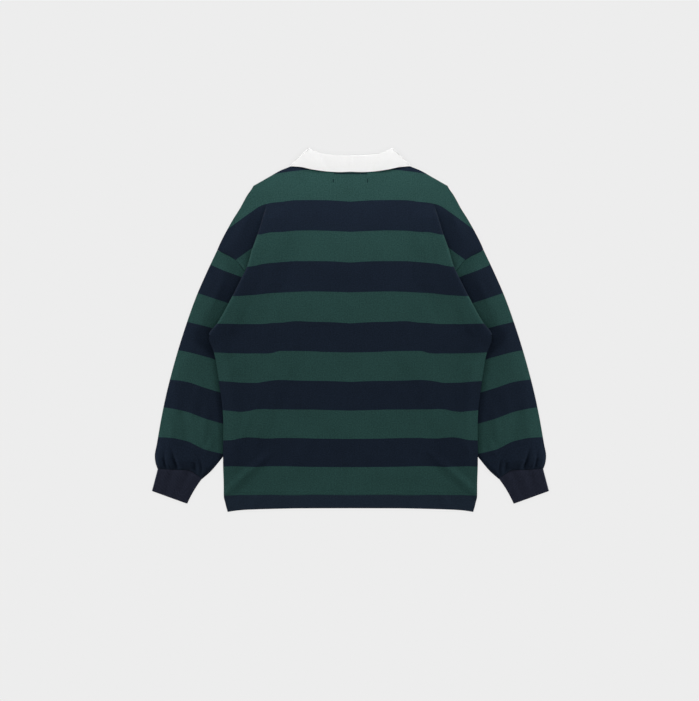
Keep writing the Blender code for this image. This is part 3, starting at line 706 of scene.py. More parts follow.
def seam_width(across):
    """Width of the groove at places across a seam."""
    return SEAM + (SEAM_GROOVE - SEAM) * smooth((np.minimum(across, 1 - across) - SEAM_ENDS) / GROOVE_OPENS)


ring_places = lengths_to([((ring[0] + ring[2]) / 2, (ring[1] + ring[3]) / 2) for ring in SLEEVE_RINGS])
SLEEVE_LENGTH = ring_places[-1]
sleeve_parts = [curve(list(zip(ring_places, column))) for column in zip(*SLEEVE_RINGS)]


def edge_point(side, place):
    """The outer (0) or inner (1) edge at a place down the sleeve."""
    return np.array([part(place) for part in sleeve_parts[2 * side:2 * side + 2]])


def square_out(run, side):
    """Unit direction in plan, square to a run along the outer (0) or inner (1) edge, away from the cloth."""
    square = np.array((run[1], -run[0])) / np.linalg.norm(run)
    return square * math.copysign(1.0, square[0] * (1 - 2 * side))


def edge_out(side, place):
    after, before = min(place + MM, SLEEVE_LENGTH), max(place - MM, 0.0)
    return square_out(edge_point(side, after) - edge_point(side, before), side)


print("sleeve along its middle:", round(SLEEVE_LENGTH, 3))

# %% [markdown]
# ## Gathers and stripes of the sleeve
#
# A wide sleeve sewn to a narrow band puffs up above the seam, and narrow folds part the fullness into
# gathers. A fold is deepest at the seam and dies out up the sleeve. Real ones differ in width, depth, slant
# and length, so each has its own row in the table. The stripes cross the arm, a little lower towards the
# body, and the first one under the armhole is green.

# %% Gathers, creases and stripe numbers
PUFF, PUFF_LENGTH, PUFF_EDGE = 4.6 * MM, 0.085, 0.07
PUFF_AT_EDGE = 0.35  # the share of the puff that the sleeve's folded edges keep
PUFF_DIPS, PUFF_AT_SEAM = 0.009, 0.12  # the seam holds the gathers down over this length
GATHER_TIP = 0.5  # width of a fold at its upper end, as a share of that at the seam
GATHERS = (  # across at the seam, drift up the sleeve, half width, depth, length
    (0.19, -0.07, 0.060, 0.42, 0.060), (0.30, -0.14, 0.030, 0.20, 0.030), (0.43, -0.29, 0.085, 0.60, 0.074),
    (0.60, -0.26, 0.040, 0.20, 0.032), (0.84, -0.22, 0.110, 0.55, 0.038), (0.98, -0.46, 0.060, 0.35, 0.066),
)
SEWN_DOWN = 0.008  # the sleeve climbs to the thicker cuff over this length
CUFF_WALL = 1.9 * MM
CUFF_TUBE = 2 * CUFF_WALL + GAP
RIB_WALL = 1.5 * MM  # the cuff's shell, without the height of its ribs
CUFF_SWELLS = ((0.20, 0.16, 0.8), (0.52, 0.20, 1.4), (0.83, 0.14, 0.7))  # across, half width, mm high
SLEEVE_AIR = 5.5 * MM  # how loosely the sleeve lies in the open
CLEAR_INSIDE, CLEAR_WIDTH = 0.002, 0.048  # it starts to rise this far under the body's edge
EDGE_RISES, END_RISES = 0.036, 0.030  # it is up this far from its outer edge and from its seams
SLEEVE_CREASES = (  # a0, y0, a1, y1, bow, half width, height, all in mm
    (298, 150, 345, 45, 4, 17, 1.3),
    (272, 118, 308, 35, -3, 12, 1.1),
    (350, 50, 315, -30, -4, 15, -0.9),
    (362, -15, 308, -62, 5, 15, 1.2),
    (378, -50, 386, -160, -4, 16, 1.2),
    (340, -80, 308, -140, 3, 13, -0.9),
    (330, -105, 356, -205, 5, 17, 1.3),
    (308, -160, 324, -260, -3, 15, 1.6),
    (408, -175, 388, -250, 4, 13, 1.3),
    (370, -150, 346, -270, -4, 20, -2.2),
    (298, -225, 322, -285, 2, 12, 1.2),
)
SLEEVE_STRIPE_PLACES = (0.16, 0.24, 0.28, 0.32, 0.36, 0.40, 0.43)
SLEEVE_STRIPES = (  # y of each boundary at those distances from the centre line
    (0.0799, 0.1153, 0.1302, 0.1480, 0.1657, 0.1834, 0.1967),
    (0.0257, 0.0496, 0.0616, 0.0746, 0.0878, 0.1001, 0.1091),
    (-0.0316, -0.0129, -0.0035, 0.0076, 0.0169, 0.0263, 0.0334),
    (-0.1019, -0.0811, -0.0707, -0.0593, -0.0490, -0.0425, -0.0380),
    (-0.1780, -0.1529, -0.1405, -0.1279, -0.1149, -0.1097, -0.1077),
    (-0.2401, -0.2183, -0.2073, -0.1954, -0.1807, -0.1726, -0.1695),
    (-0.3000, -0.2830, -0.2735, -0.2630, -0.2447, -0.2371, -0.2364),
)
CUFF_STRIPE = 0.10  # the last stripe runs on to the cuff seam
sleeve_boundaries = [curve(list(zip(SLEEVE_STRIPE_PLACES, row))) for row in SLEEVE_STRIPES]


def puff_height(across, place):
    """How the gathered fullness swells above the cuff."""
    from_seam = SLEEVE_LENGTH - place
    swell = smooth(1 - from_seam / PUFF_LENGTH) * smooth(from_seam / PUFF_DIPS + PUFF_AT_SEAM)
    inside = arch(across / PUFF_EDGE) * arch((1 - across) / PUFF_EDGE)
    return PUFF * swell * (PUFF_AT_EDGE + (1 - PUFF_AT_EDGE) * inside)


def between_gathers(across, place):
    """The share of the height that stays: 1 on a gather, less in the narrow folds between two."""
    stays = np.ones(np.shape(across))
    for seam_across, drift, half_width, depth, length in GATHERS:
        up = (SLEEVE_LENGTH - place) / length
        taper = smooth(1 - up)
        away = np.abs(across - seam_across - drift * up)
        reach = half_width * (GATHER_TIP + (1 - GATHER_TIP) * taper)
        stays *= 1 - depth * taper * smooth(1 - away / reach)
    return stays


def cuff_top(across):
    """Height of the middle of a cuff's upper wall, below its ribs."""
    swell = sum(height * smooth(1 - np.abs(across - middle) / half) for middle, half, height in CUFF_SWELLS)
    return CUFF_TUBE - RIB_WALL / 2 + swell * MM


def sleeve_stripes(a, y):
    """Stripe number on the sleeve, from the part of a green stripe under the armhole to the cuff seam."""
    boundaries = [boundary(a) for boundary in sleeve_boundaries]
    return stripe_number(y, [boundaries[0] + STRIPE, *boundaries, boundaries[-1] - CUFF_STRIPE], 0)


def clear_of_body(a, y):
    """0 under the body, 1 in the open."""
    return arch((a - body_edge(y) + CLEAR_INSIDE) / CLEAR_WIDTH)


print("puff in mm:", [round(float(h) / MM, 1) for h in puff_height(np.linspace(0.1, 0.9, 5), 0.47)])

# %% [markdown]
# ## Rings round a flat tube
#
# Sleeve and cuff are the same kind of tube, so one function goes round both. It takes the plan of a ring,
# the heights of its upper and under wall, and the two directions in which the folded edges bulge.

# %% One ring of a flat tube
SET_IN_POWER = 4  # only the columns next to an edge move in for its round turn
TURN_STEPS = 6


def set_in(share, ends, insets):
    """Shares of the way across, moved in by the insets at both ends."""
    moved = (1 - share) ** SET_IN_POWER * insets[0] - share ** SET_IN_POWER * insets[1]
    return share + moved / np.linalg.norm(ends[0] - ends[1])


def straight_across(share, ends):
    return np.outer(1 - share, ends[0]) + np.outer(share, ends[1])


def tube_ring(across, under, plan, top, bottom, outs):
    """Places round a flattened tube: over the top from 0 to 1, round, back underneath and round again."""
    steps = np.arange(1, TURN_STEPS) / TURN_STEPS * math.pi

    def turn(end, out, first, last):
        middle, half = (first + last) / 2, (first - last) / 2
        spots = end + out * (abs(half) * np.sin(steps))[:, None]
        return np.column_stack((spots, middle + half * np.cos(steps)))

    above = np.column_stack((plan(across), top(across)))
    below = np.column_stack((plan(under[::-1]), bottom(under[::-1])))
    inner = turn(above[-1, :2], outs[1], above[-1, 2], below[0, 2])
    outer = turn(above[0, :2], outs[0], below[-1, 2], above[0, 2])
    return np.concatenate((above, inner, below, outer, above[:1]))


def lay_tube(name, side, rings, wall=WALL):
    """A tube of cloth through (ring, stripes) pairs; side is 1 for the right and -1 for the left."""
    points = np.array([ring * (side, 1, 1) for ring, _ in rings])
    marks = np.array([np.column_stack((lengths_to(ring), stripes)) for ring, stripes in rings])
    return lay_cloth(name, points, marks, wall=wall, closed=True)


# %% Make both sleeves
SLEEVE_RING_COUNT = 124
ABOVE_COUNT, UNDER_COUNT = 69, 35  # places across the upper and the under wall
UNDER_SHARE = 0.35  # how much of the upper wall's rise the under wall has
STARTS, ENDS, BROADER, LOWER = -4, 3, 1.08, 0.92  # how the right sleeve's creases differ, in mm or times


def sleeve(name, side, creases):
    across, under = np.linspace(0, 1, ABOVE_COUNT), np.linspace(0, 1, UNDER_COUNT)
    rings = []
    for place in np.linspace(0.0, SLEEVE_LENGTH, SLEEVE_RING_COUNT):
        ends, outs = zip(*((edge_point(edge, place), edge_out(edge, place)) for edge in (0, 1)))
        width = np.linalg.norm(ends[0] - ends[1])
        near_armhole = max(0.0, 1 - place / ring_places[1])
        near_cuff = max(0.0, 1 - (SLEEVE_LENGTH - place) / (SLEEVE_LENGTH - ring_places[-2]))
        insets = (TUBE / 2, TUBE / 2 + FOLD_ROOM * near_armhole)
        armhole_bow, cuff_bow = (part(place) for part in sleeve_parts[4:])

        def plan(share):
            share = set_in(share, ends, insets)
            return (straight_across(share, ends)
                    + np.outer(seam_width(share), ALONG_SLEEVE * near_armhole - ALONG_CUFF / 2 * near_cuff)
                    + armhole_bow * seam_bow(ARMHOLE, share) + cuff_bow * seam_bow(CUFF_SEAM, share))

        def rise(share):
            a, y = plan(share).T
            loose = (clear_of_body(a, y) * arch(share * width / EDGE_RISES)
                     * smooth(place / END_RISES) * smooth((SLEEVE_LENGTH - place) / END_RISES))
            folds = np.maximum(SLEEVE_AIR + crease_height(a, y, creases), 0.0)
            sewn = smooth(1 - (SLEEVE_LENGTH - place) / SEWN_DOWN)
            gathered = (loose * folds + puff_height(share, place)) * between_gathers(share, place)
            return gathered + sewn * (cuff_top(share) - TUBE + WALL / 2)

        ring = tube_ring(across, under, plan, lambda share: TUBE - WALL / 2 + rise(share),
                         lambda share: WALL / 2 + UNDER_SHARE * rise(share), outs)
        rings.append((ring, sleeve_stripes(ring[:, 0], ring[:, 1])))
    return lay_tube(name, side, rings)


sleeve_left = sleeve("sleeve_shell_left", -1, SLEEVE_CREASES)
sleeve_right = sleeve("sleeve_shell_right", 1, [
    (a0, y0 + STARTS, a1, y1 + ENDS, bow, half_width * BROADER, height * LOWER)
    for a0, y0, a1, y1, bow, half_width, height in SLEEVE_CREASES])

# %% [markdown]
# ## Ribbed cuffs
#
# A cuff is knitted in rib: columns of plain stitches stand out and the columns between sink in, so the
# band stretches over a hand and closes again. The ribs are modelled, because their crests catch the light
# and scallop the lower edge. It is the same flat tube as the sleeve, with a thicker wall.

# %% Make both cuffs
CUFF_BOTTOM = (np.array((0.4366, -0.3546)), np.array((0.3586, -0.3828)))
CUFF_WAIST = 1.8 * MM  # the inner edge is drawn in between its ends
RIBS = 30
RIB_HEIGHT = 0.6 * MM
PLACES_PER_RIB = 5
CUFF_RING_COUNT = 22
RIB_POWER = 0.8  # below 1 a rib is broader than the hollow beside it
SCALLOP, SCALLOP_POWER = 0.5 * MM, 8  # a high power keeps the scallops at the lower edge
rib_strength = curve([(0.0, 0.30), (0.18, 1.0), (0.85, 1.0), (1.0, 0.55)])


def rib_profile(across):
    """1 on the crest of a rib, 0 between two ribs."""
    return (0.5 - 0.5 * np.cos(2 * math.pi * RIBS * across)) ** RIB_POWER


def cuff(name, side):
    across = np.linspace(0, 1, RIBS * PLACES_PER_RIB + 1)
    seam = (np.array(CUFF_SEAM[0]), np.array(CUFF_SEAM[-1]))
    outs = [square_out(bottom_end - top_end, edge)
            for edge, (top_end, bottom_end) in enumerate(zip(seam, CUFF_BOTTOM))]
    rings = []
    for down in np.linspace(0.0, 1.0, CUFF_RING_COUNT):
        ends = [top_end * (1 - down) + bottom_end * down for top_end, bottom_end in zip(seam, CUFF_BOTTOM)]
        ends[1] = ends[1] - outs[1] * CUFF_WAIST * math.sin(math.pi * down)
        strength = rib_strength(down)

        def plan(share):
            scallop = np.outer(rib_profile(share) * SCALLOP * down ** SCALLOP_POWER, ALONG_CUFF)
            share = set_in(share, ends, (CUFF_TUBE / 2, CUFF_TUBE / 2))
            return (straight_across(share, ends) + scallop
                    + np.outer(seam_width(share), ALONG_CUFF / 2 * (1 - down))
                    + (1 - down) ** 2 * seam_bow(CUFF_SEAM, share))

        def top(share):
            flat = CUFF_TUBE - RIB_WALL / 2
            swell = (cuff_top(share) - flat) * (1 - down / 2)
            return flat + swell + strength * RIB_HEIGHT * rib_profile(share)

        def bottom(share):
            return RIB_WALL / 2 + strength * RIB_HEIGHT * (1 - rib_profile(share))

        ring = tube_ring(across, across, plan, top, bottom, outs)
        rings.append((ring, np.full(len(ring), down * np.linalg.norm(CUFF_BOTTOM[0] - seam[0]))))
    return lay_tube(name, side, rings, RIB_WALL)


cuff_left = cuff("cuff_rib_left", -1)
cuff_right = cuff("cuff_rib_right", 1)

# %% [markdown]
# ## Seam allowances
#
# Two pieces of cloth are joined with about a centimetre of each turned inside. It shows only as a darker
# line in the seam, but without it light would fall through. Each allowance is a narrow ribbon between the
# upper and the under wall. At the cuff it steps up, because the rib is thicker than the jersey.

# %% Ribbons inside the armhole and cuff seams
ALLOWANCE_WALL, ALLOWANCE_COUNT = 0.3 * MM, 25
armhole_line, cuff_line = plan_curve(ARMHOLE), plan_curve(CUFF_SEAM)
ARMHOLE_ALLOWANCE = ((-5.0, 1.45), (5.0, 1.45))  # mm down the arm, mm high
CUFF_ALLOWANCE = ((-5.0, 1.45), (-0.5, 1.45), (0.9, 2.25), (6.0, 2.25))


def seam_allowance(name, line, down_the_arm, profile, side):
    shares = np.linspace(SEAM_ENDS, 1 - SEAM_ENDS, ALLOWANCE_COUNT)
    rows = []
    for down, height in profile:
        plan = line(shares) + down * MM * down_the_arm
        rows.append(np.column_stack((side * plan[:, 0], plan[:, 1], np.full(len(plan), height * MM))))
    points = np.array(rows)
    return lay_cloth(name, points, np.abs(points[..., :2]), wall=ALLOWANCE_WALL, rounded=False)


def set_in_line(shares):
    plan = armhole_line(shares)
    return np.column_stack((armhole_edge(plan[:, 1]), plan[:, 1]))


allowances = {
    (name, side): seam_allowance(f"{name}_allowance_{word}", line, down, profile, side)
    for side, word in ((-1, "left"), (1, "right"))
    for name, line, down, profile in (("armhole", set_in_line, ALONG_SLEEVE, ARMHOLE_ALLOWANCE),
                                      ("cuff", cuff_line, ALONG_CUFF, CUFF_ALLOWANCE))}

# %% [markdown]
# ## Collar
#
# The collar is a loop of two pieces. The stand rises from the neck seam; the leaf is sewn to its top and
# falls back over it outside. Pressed flat, the loop's back half lies over its front half. A table gives
# the roll, the leaf's free edge and the neck seam at stations round half the loop, and the other half is
# its mirror. At the side, the stations turn from the back to the front about the loop's middle.

# %% Stations round the collar
COLLAR_MIDDLE = FLAT + PITCH
LEAF_RING = 1.5 * PITCH
STAND_RING = 0.5 * PITCH
TURN_ROW = 5  # the row of the table at which the loop turns
COLLAR = (  # roll a, roll y, leaf a, leaf y, neck a, neck y
    (0.0000, 0.3818, 0.0000, 0.3464, 0.0000, 0.3537),
    (0.0250, 0.3822, 0.0240, 0.3456, 0.0245, 0.3542),
    (0.0480, 0.3836, 0.0550, 0.3473, 0.0491, 0.3547),
    (0.0660, 0.3868, 0.0836, 0.3512, 0.0832, 0.3592),
    (0.0810, 0.3920, 0.1100, 0.3567, 0.1003, 0.3634),
    (0.0908, 0.3964, 0.1314, 0.3584, 0.1160, 0.3682),
    (0.0700, 0.3680, 0.1080, 0.3180, 0.1003, 0.3386),
    (0.0450, 0.3380, 0.0840, 0.2840, 0.0662, 0.3066),
    (0.0200, 0.3165, 0.0620, 0.2620, 0.0320, 0.2886),
)
collar_parts = [curve(list(enumerate(column))) for column in zip(*COLLAR)]


def collar_stations(back_steps, turn_steps, front_steps):
    """(roll, leaf, neck, up, out, angle) at places from the centre back round to the front end."""
    rows = np.concatenate((np.linspace(0, TURN_ROW, back_steps + 1), np.full(turn_steps - 1, TURN_ROW),
                           np.linspace(TURN_ROW, len(COLLAR) - 1, front_steps + 1)))
    angles = np.concatenate((np.zeros(back_steps + 1), math.pi * np.arange(1, turn_steps) / turn_steps,
                             np.full(front_steps + 1, math.pi)))
    stations = []
    for row, angle in zip(rows, angles):
        values = [part(row) for part in collar_parts]
        roll, leaf, neck = (np.array(values[first:first + 2]) for first in (0, 2, 4))
        up = (roll - leaf) / np.linalg.norm(roll - leaf)
        stations.append((roll, leaf, neck, up, np.array((up[1], -up[0])), angle))
    return stations


def loop_point(plan, up, out, angle, ring, advance):
    """A place of the loop, a ring's radius from its middle and an advance up the collar from plan."""
    spot = plan + up * advance + out * ring * math.sin(angle)
    return np.array((spot[0], spot[1], COLLAR_MIDDLE + ring * math.cos(angle)))


def collar_marks(points):
    """Lengths along the loop and up the collar, in metres."""
    along, up = lengths_to(points[0]), lengths_to(points[:, points.shape[1] // 2])
    return np.stack(np.meshgrid(along, up), axis=2)

# %% [markdown]
# ## Leaf and stand
#
# The leaf is stiff twill, so it carries few creases: a soft pressed line at the centre back, where the
# collar was folded in two, and a plane of its own on each side, where it swings round to the front. Its
# free edge lifts a little off the shoulders.

# %% Make the collar
LEAF_STEPS, ROLL_STEPS, STAND_STEPS = 14, 9, 7
LEAF_STATIONS, STAND_STATIONS = (52, 12, 34), (36, 8, 20)  # along the back, the turn and the front
SIDE_PLANE_A, SIDE_PLANE_Y, SIDE_PLANE_WAY = 0.064, 0.380, (0.624, -0.780)  # where a ramp starts, and its way
SIDE_PLANE_RAMP, SIDE_PLANE_RISE = 0.020, 3.0 * MM
PLANE_BEGINS, PLANE_SWELLS, PLANE_ENDS, PLANE_DIES = 0.045, 0.020, 0.098, 0.034
EDGE_LIFT, EDGE_WAVE, EDGE_WAVES, WAVE_START = 0.7 * MM, 0.4, 70, 0.6  # the free edge lifts in waves
LEAF_CREASES = [  # x0, y0, x1, y1, bow, half width, height, all in mm
    (2, 348, 2, 386, 0, 4, 0.9),
    *mirrored([(64, 396, 69, 345, 1, 4.5, 0.5)]),
    (30, 355, 55, 364, 1, 7, 0.4),
    (-48, 357, -18, 366, 1, 7, 0.35),
]


def leaf_lift(x, y, share, angle):
    """What the upper half of the loop rises above its solid."""
    upper = max(0.0, math.cos(angle))
    a = abs(x)
    up_ramp = (a - SIDE_PLANE_A) * SIDE_PLANE_WAY[0] + (y - SIDE_PLANE_Y) * SIDE_PLANE_WAY[1]
    on_side = smooth((a - PLANE_BEGINS) / PLANE_SWELLS) - smooth((a - PLANE_ENDS) / PLANE_DIES)
    plane = SIDE_PLANE_RISE * smooth(up_ramp / SIDE_PLANE_RAMP) * on_side
    wave = 1 - EDGE_WAVE + EDGE_WAVE * math.sin(EDGE_WAVES * x + WAVE_START)
    edge = EDGE_LIFT * (1 - share) ** 3 * wave
    return upper * (plane + edge + np.maximum(crease_height(x, y, LEAF_CREASES), 0.0))


def lay_loop(name, half):
    """The collar piece whose rows, from the centre back round to a front end, half lists."""
    half = np.array(half)
    points = np.concatenate((half[:, :0:-1] * (-1, 1, 1), half), axis=1)
    return lay_cloth(name, points, collar_marks(points))


def make_leaf():
    stations = collar_stations(*LEAF_STATIONS)
    profile = [(share, LEAF_RING, 0.0) for share in np.linspace(0, 1, LEAF_STEPS + 1)]
    middle, radius = (LEAF_RING + STAND_RING) / 2, (LEAF_RING - STAND_RING) / 2
    for angle in math.pi * np.arange(1, ROLL_STEPS + 1) / ROLL_STEPS:
        profile.append((1.0, middle + radius * math.cos(angle), radius * math.sin(angle)))
    half = []
    for share, ring, advance in profile:
        row = []
        for roll, leaf, neck, up, out, angle in stations:
            point = loop_point(leaf * (1 - share) + roll * share, up, out, angle, ring, advance)
            outside = (ring - STAND_RING) / (LEAF_RING - STAND_RING)
            point[2] += outside * leaf_lift(point[0], point[1], share, angle)
            row.append(point)
        half.append(row)
    return lay_loop("collar_leaf_shell", half)


leaf = make_leaf()
stand = lay_loop("collar_stand_shell", [
    [loop_point(neck * (1 - share) + (roll - up * GAP) * share, up, out, angle, STAND_RING, 0.0)
     for roll, _, neck, up, out, angle in collar_stations(*STAND_STATIONS)]
    for share in np.linspace(0, 1, STAND_STEPS + 1)])

# %% [markdown]
# ## Placket and buttons
#
# The front opening lies underneath: a strip of twill with three rubber buttons flush in it. The strip is a
# cube stretched to size, its button places are cut with cylinders, and its edges are rounded a little. A
# button is a disc whose face is inset and pressed in, with four holes for the thread.

# %% Placket strip and buttons
PLACKET_TOP, PLACKET_LENGTH, PLACKET_WIDTH = 0.2845, 0.148, 0.032
BUTTON_RADIUS, BUTTON_CLEARANCE, BUTTON_SPACING = 5.5 * MM, 0.4 * MM, 0.050
BUTTON_RIM, BUTTON_DISH = 1.1 * MM, 0.25 * MM
BUTTON_SIDES, HOLE_SIDES = 48, 16
PLACKET_ROUND, BUTTON_ROUND = 0.3 * MM, 0.15 * MM
THREAD_HOLE, THREAD_HOLE_SPACING = 0.55 * MM, 2.4 * MM
HARD_EDGE = math.radians(40)
FLAT_FACE = 0.9  # the button's two faces point up or down more than this, its sides less
placket_y = PLACKET_TOP - PLACKET_LENGTH / 2 + SHIFT_Y


def disc(name, radius, depth, place=(0, 0, 0), sides=BUTTON_SIDES):
    return add_shape(bpy.ops.mesh.primitive_cylinder_add, name, vertices=sides, radius=radius, depth=depth,
                     location=place)


def cut_hole(piece, *size_and_place):
    cutter = disc("cutter", *size_and_place)
    apply_modifier(piece, "BOOLEAN", operation="DIFFERENCE", object=cutter)
    bpy.data.objects.remove(cutter, do_unlink=True)


def keep_place_in_mesh(piece):
    select_only(piece)
    bpy.ops.object.transform_apply(location=True, rotation=True, scale=True)


placket = add_shape(bpy.ops.mesh.primitive_cube_add, "placket_strip", size=1.0,
                    location=(0.0, placket_y, WALL / 2))
placket.scale = (PLACKET_WIDTH, PLACKET_LENGTH, WALL)
keep_place_in_mesh(placket)
for y in (placket_y - BUTTON_SPACING, placket_y, placket_y + BUTTON_SPACING):
    cut_hole(placket, BUTTON_RADIUS + BUTTON_CLEARANCE, 4 * WALL, (0, y, WALL / 2))
round_edges(placket, PLACKET_ROUND, HARD_EDGE)
bpy.ops.object.shade_smooth_by_angle(angle=HARD_EDGE)
print("placket:", [round(side, 3) for side in placket.dimensions])

# %% One button, modelled in millimetres, then two copies
THICK = WALL / MM
button = disc("button_rubber_1", BUTTON_RADIUS / MM, THICK)
edit(button, kind="FACE", action="DESELECT")
stop_editing()
for face in button.data.polygons:
    face.select = abs(face.normal.z) > FLAT_FACE
bpy.ops.object.mode_set(mode="EDIT")
bpy.ops.mesh.inset(thickness=BUTTON_RIM / MM, depth=0.0, use_individual=True)
bpy.ops.mesh.inset(thickness=BUTTON_DISH / MM, depth=-BUTTON_DISH / MM, use_individual=True)
stop_editing()
for x_side in (-1, 1):
    for y_side in (-1, 1):
        place = (x_side * THREAD_HOLE_SPACING / MM / 2, y_side * THREAD_HOLE_SPACING / MM / 2, 0)
        cut_hole(button, THREAD_HOLE / MM, 4 * THICK, place, HOLE_SIDES)
round_edges(button, BUTTON_ROUND / MM, HARD_EDGE)
bpy.ops.object.shade_smooth_by_angle(angle=HARD_EDGE)
button.scale = (MM, MM, MM)
button.location = (0, placket_y - BUTTON_SPACING, WALL / 2)
keep_place_in_mesh(button)
buttons = [button]
for number in (2, 3):
    select_only(buttons[-1])
    bpy.ops.object.duplicate()
    copied = bpy.context.object
    copied.name = copied.data.name = f"button_rubber_{number}"
    copied.location.y = BUTTON_SPACING
    keep_place_in_mesh(copied)
    buttons.append(copied)
print("button faces:", [len(one.data.polygons) for one in buttons])

# %% [markdown]
# ## Stitches
#
# A seam is only believed when its thread shows. One stitch is a small faceted bead, drawn out long and
# pressed flat. It is modelled once and repeated along a line, a hand's width of cloth having thirty or
# more. Each copy is set down on the cloth by looking for the surface from above, or from below on the
# front, so the row follows every fold. The hem has two rows side by side, as a twin needle sews them. The
# collar and the placket have one row inside their edge. Under the collar, a close dark row holds the tape
# that covers the neck seam inside, and below each of its ends a short bar of dense zigzag locks it.

# %% One stitch, and rows of it
STITCH = (1.25 * MM, 0.28 * MM, 0.20 * MM)  # half length, half width, half height
STITCH_PITCH = 3.1 * MM
STITCH_SINKS = 0.06 * MM
PRESSED = 0.04 * MM  # what a stitch stands proud where the shirt lies on it
LOOK_FROM = 0.1
LEVEL_ENOUGH = 0.5  # cloth that faces up or down less than this gets no stitch

bead = add_shape(bpy.ops.mesh.primitive_ico_sphere_add, "bead", subdivisions=1, radius=1.0)
bead_points = np.array([tuple(vertex.co) for vertex in bead.data.vertices])
bead_faces = np.array([tuple(face.vertices) for face in bead.data.polygons])
bpy.data.objects.remove(bead, do_unlink=True)


def along_line(line, pitch):
    """Evenly spaced places and directions along a line of points in plan."""
    line = np.array(line, float)
    lengths = lengths_to(line)
    at = np.arange(pitch, lengths[-1] - pitch / 2, pitch)
    places = np.column_stack([np.interp(at, lengths, line[:, axis]) for axis in (0, 1)])
    ahead = np.column_stack([np.interp(at + MM, lengths, line[:, axis]) for axis in (0, 1)])
    ways = ahead - places
    return places, ways / np.maximum(np.linalg.norm(ways, axis=1), 1e-9)[:, None]


def surface_at(cloth, spot, side):
    """Where the outer face of a cloth is over (side 1) or under (side -1) a spot in plan."""
    hit, place, normal, _ = cloth.ray_cast((spot[0], spot[1], side * LOOK_FROM), (0, 0, -side))
    return (np.array(place), np.array(normal) * math.copysign(1, normal[2] * side)) if hit else (None, None)


def stitches(name, rows, pitch=STITCH_PITCH, bead_size=STITCH):
    """One mesh of beads along rows of (cloth, line in plan, side)."""
    points = []
    for cloth, line, side in rows:
        for spot, way in zip(*along_line(line, pitch)):
            place, out = surface_at(cloth, spot, side)
            if place is None or abs(out[2]) < LEVEL_ENOUGH:
                continue
            forward = np.array((*way, 0.0)) - out * np.dot((*way, 0.0), out)
            forward /= np.linalg.norm(forward)
            axes = np.array((forward, np.cross(out, forward), out)) * np.array(bead_size)[:, None]
            sinks = STITCH_SINKS if side > 0 else bead_size[2] - PRESSED
            points.append(place - out * sinks + bead_points @ axes)
    mesh = bpy.data.meshes.new(name)
    faces = np.concatenate([bead_faces + len(bead_points) * number for number in range(len(points))])
    mesh.from_pydata(np.concatenate(points).tolist(), [], faces.tolist())
    sewn = bpy.data.objects.new(name, mesh)
    bpy.context.scene.collection.objects.link(sewn)
    edit(sewn)
    bpy.ops.mesh.normals_make_consistent(inside=False)
    stop_editing()
    bpy.ops.object.shade_smooth()
    print(f"{name}: {len(points)} stitches")
    return sewn


# %% Sew the hem, the collar, the placket and the neck tape
HEM_ROWS = (1.2 * MM, 7.0 * MM)  # below the top of the turned-up hem
HEM_ROW_END, HEM_ROW_PLACES = 0.272, 80
THREAD_STATIONS = (40, 4, 30)
COLLAR_ROW = 5.0 * MM  # in from the leaf's free edge
PLACKET_ROW = 2.5 * MM
TAPE_A, TAPE_TOP = 0.0377, 0.3430
BAR_TOP, BAR_END = 0.3318, 0.3226
BAR_STITCH, BAR_PITCH = (0.60 * MM, 1.20 * MM, 0.28 * MM), 0.9 * MM
TAPE_STITCH, TAPE_PITCH = (1.2 * MM, 1.90 * MM, 0.25 * MM), 1.9 * MM


def hem_line(below):
    x = np.linspace(-HEM_ROW_END, HEM_ROW_END, HEM_ROW_PLACES)
    return np.column_stack((x, dipped(np.abs(x), HEM_TOP - below + SHIFT_Y)))


def leaf_line(step):
    """The collar's stitch line on its back (step 1) or front half (step -1)."""
    half = np.array([edge + up * COLLAR_ROW + (0, SHIFT_Y)
                     for _, edge, _, up, _, angle in collar_stations(*THREAD_STATIONS)
                     if round(math.cos(angle)) == step])
    return np.concatenate((half[:0:-1] * (-1, 1), half)) if step > 0 else half


front_collar = leaf_line(-1)
hem_thread = stitches("hem_stitches", [(cloth, hem_line(below), side) for below in HEM_ROWS
                                       for cloth, side in ((back, 1), (front, -1))])
collar_thread = stitches("collar_stitches", [(leaf, leaf_line(1), 1), (leaf, front_collar, -1),
                                             (leaf, front_collar * (-1, 1), -1)])
placket_thread = stitches("placket_stitches", [
    (placket, [(x, placket_y - PLACKET_LENGTH / 2 + PLACKET_ROW), (x, placket_y + PLACKET_LENGTH / 2)], -1)
    for x in (PLACKET_ROW - PLACKET_WIDTH / 2, PLACKET_WIDTH / 2 - PLACKET_ROW)])
bar_thread = stitches("neck_tape_bars", [
    (back, [(x, BAR_TOP), (x, BAR_END)], 1) for x in (-TAPE_A, TAPE_A)], BAR_PITCH, BAR_STITCH)
tape_thread = stitches("neck_tape_stitches", [(back, [(-TAPE_A, TAPE_TOP), (TAPE_A, TAPE_TOP)], 1)],
                       TAPE_PITCH, TAPE_STITCH)

# %% [markdown]
# ## Knit, weave and tone as node groups
#
# Several finishes share the same effects, so each effect is one group of nodes. The knit group draws
# columns of V-shaped loops, the weave group the slanted ribs of twill, and the tone group lets a dyed
# cloth vary: broad uneven patches, streaks along the wales and fine fibre. In the functions that build
# them, do adds one math node to the group.

# %% Helpers for node groups
SOCKETS = {"Marks": "NodeSocketVector", "Color": "NodeSocketColor"}  # every other one is a number


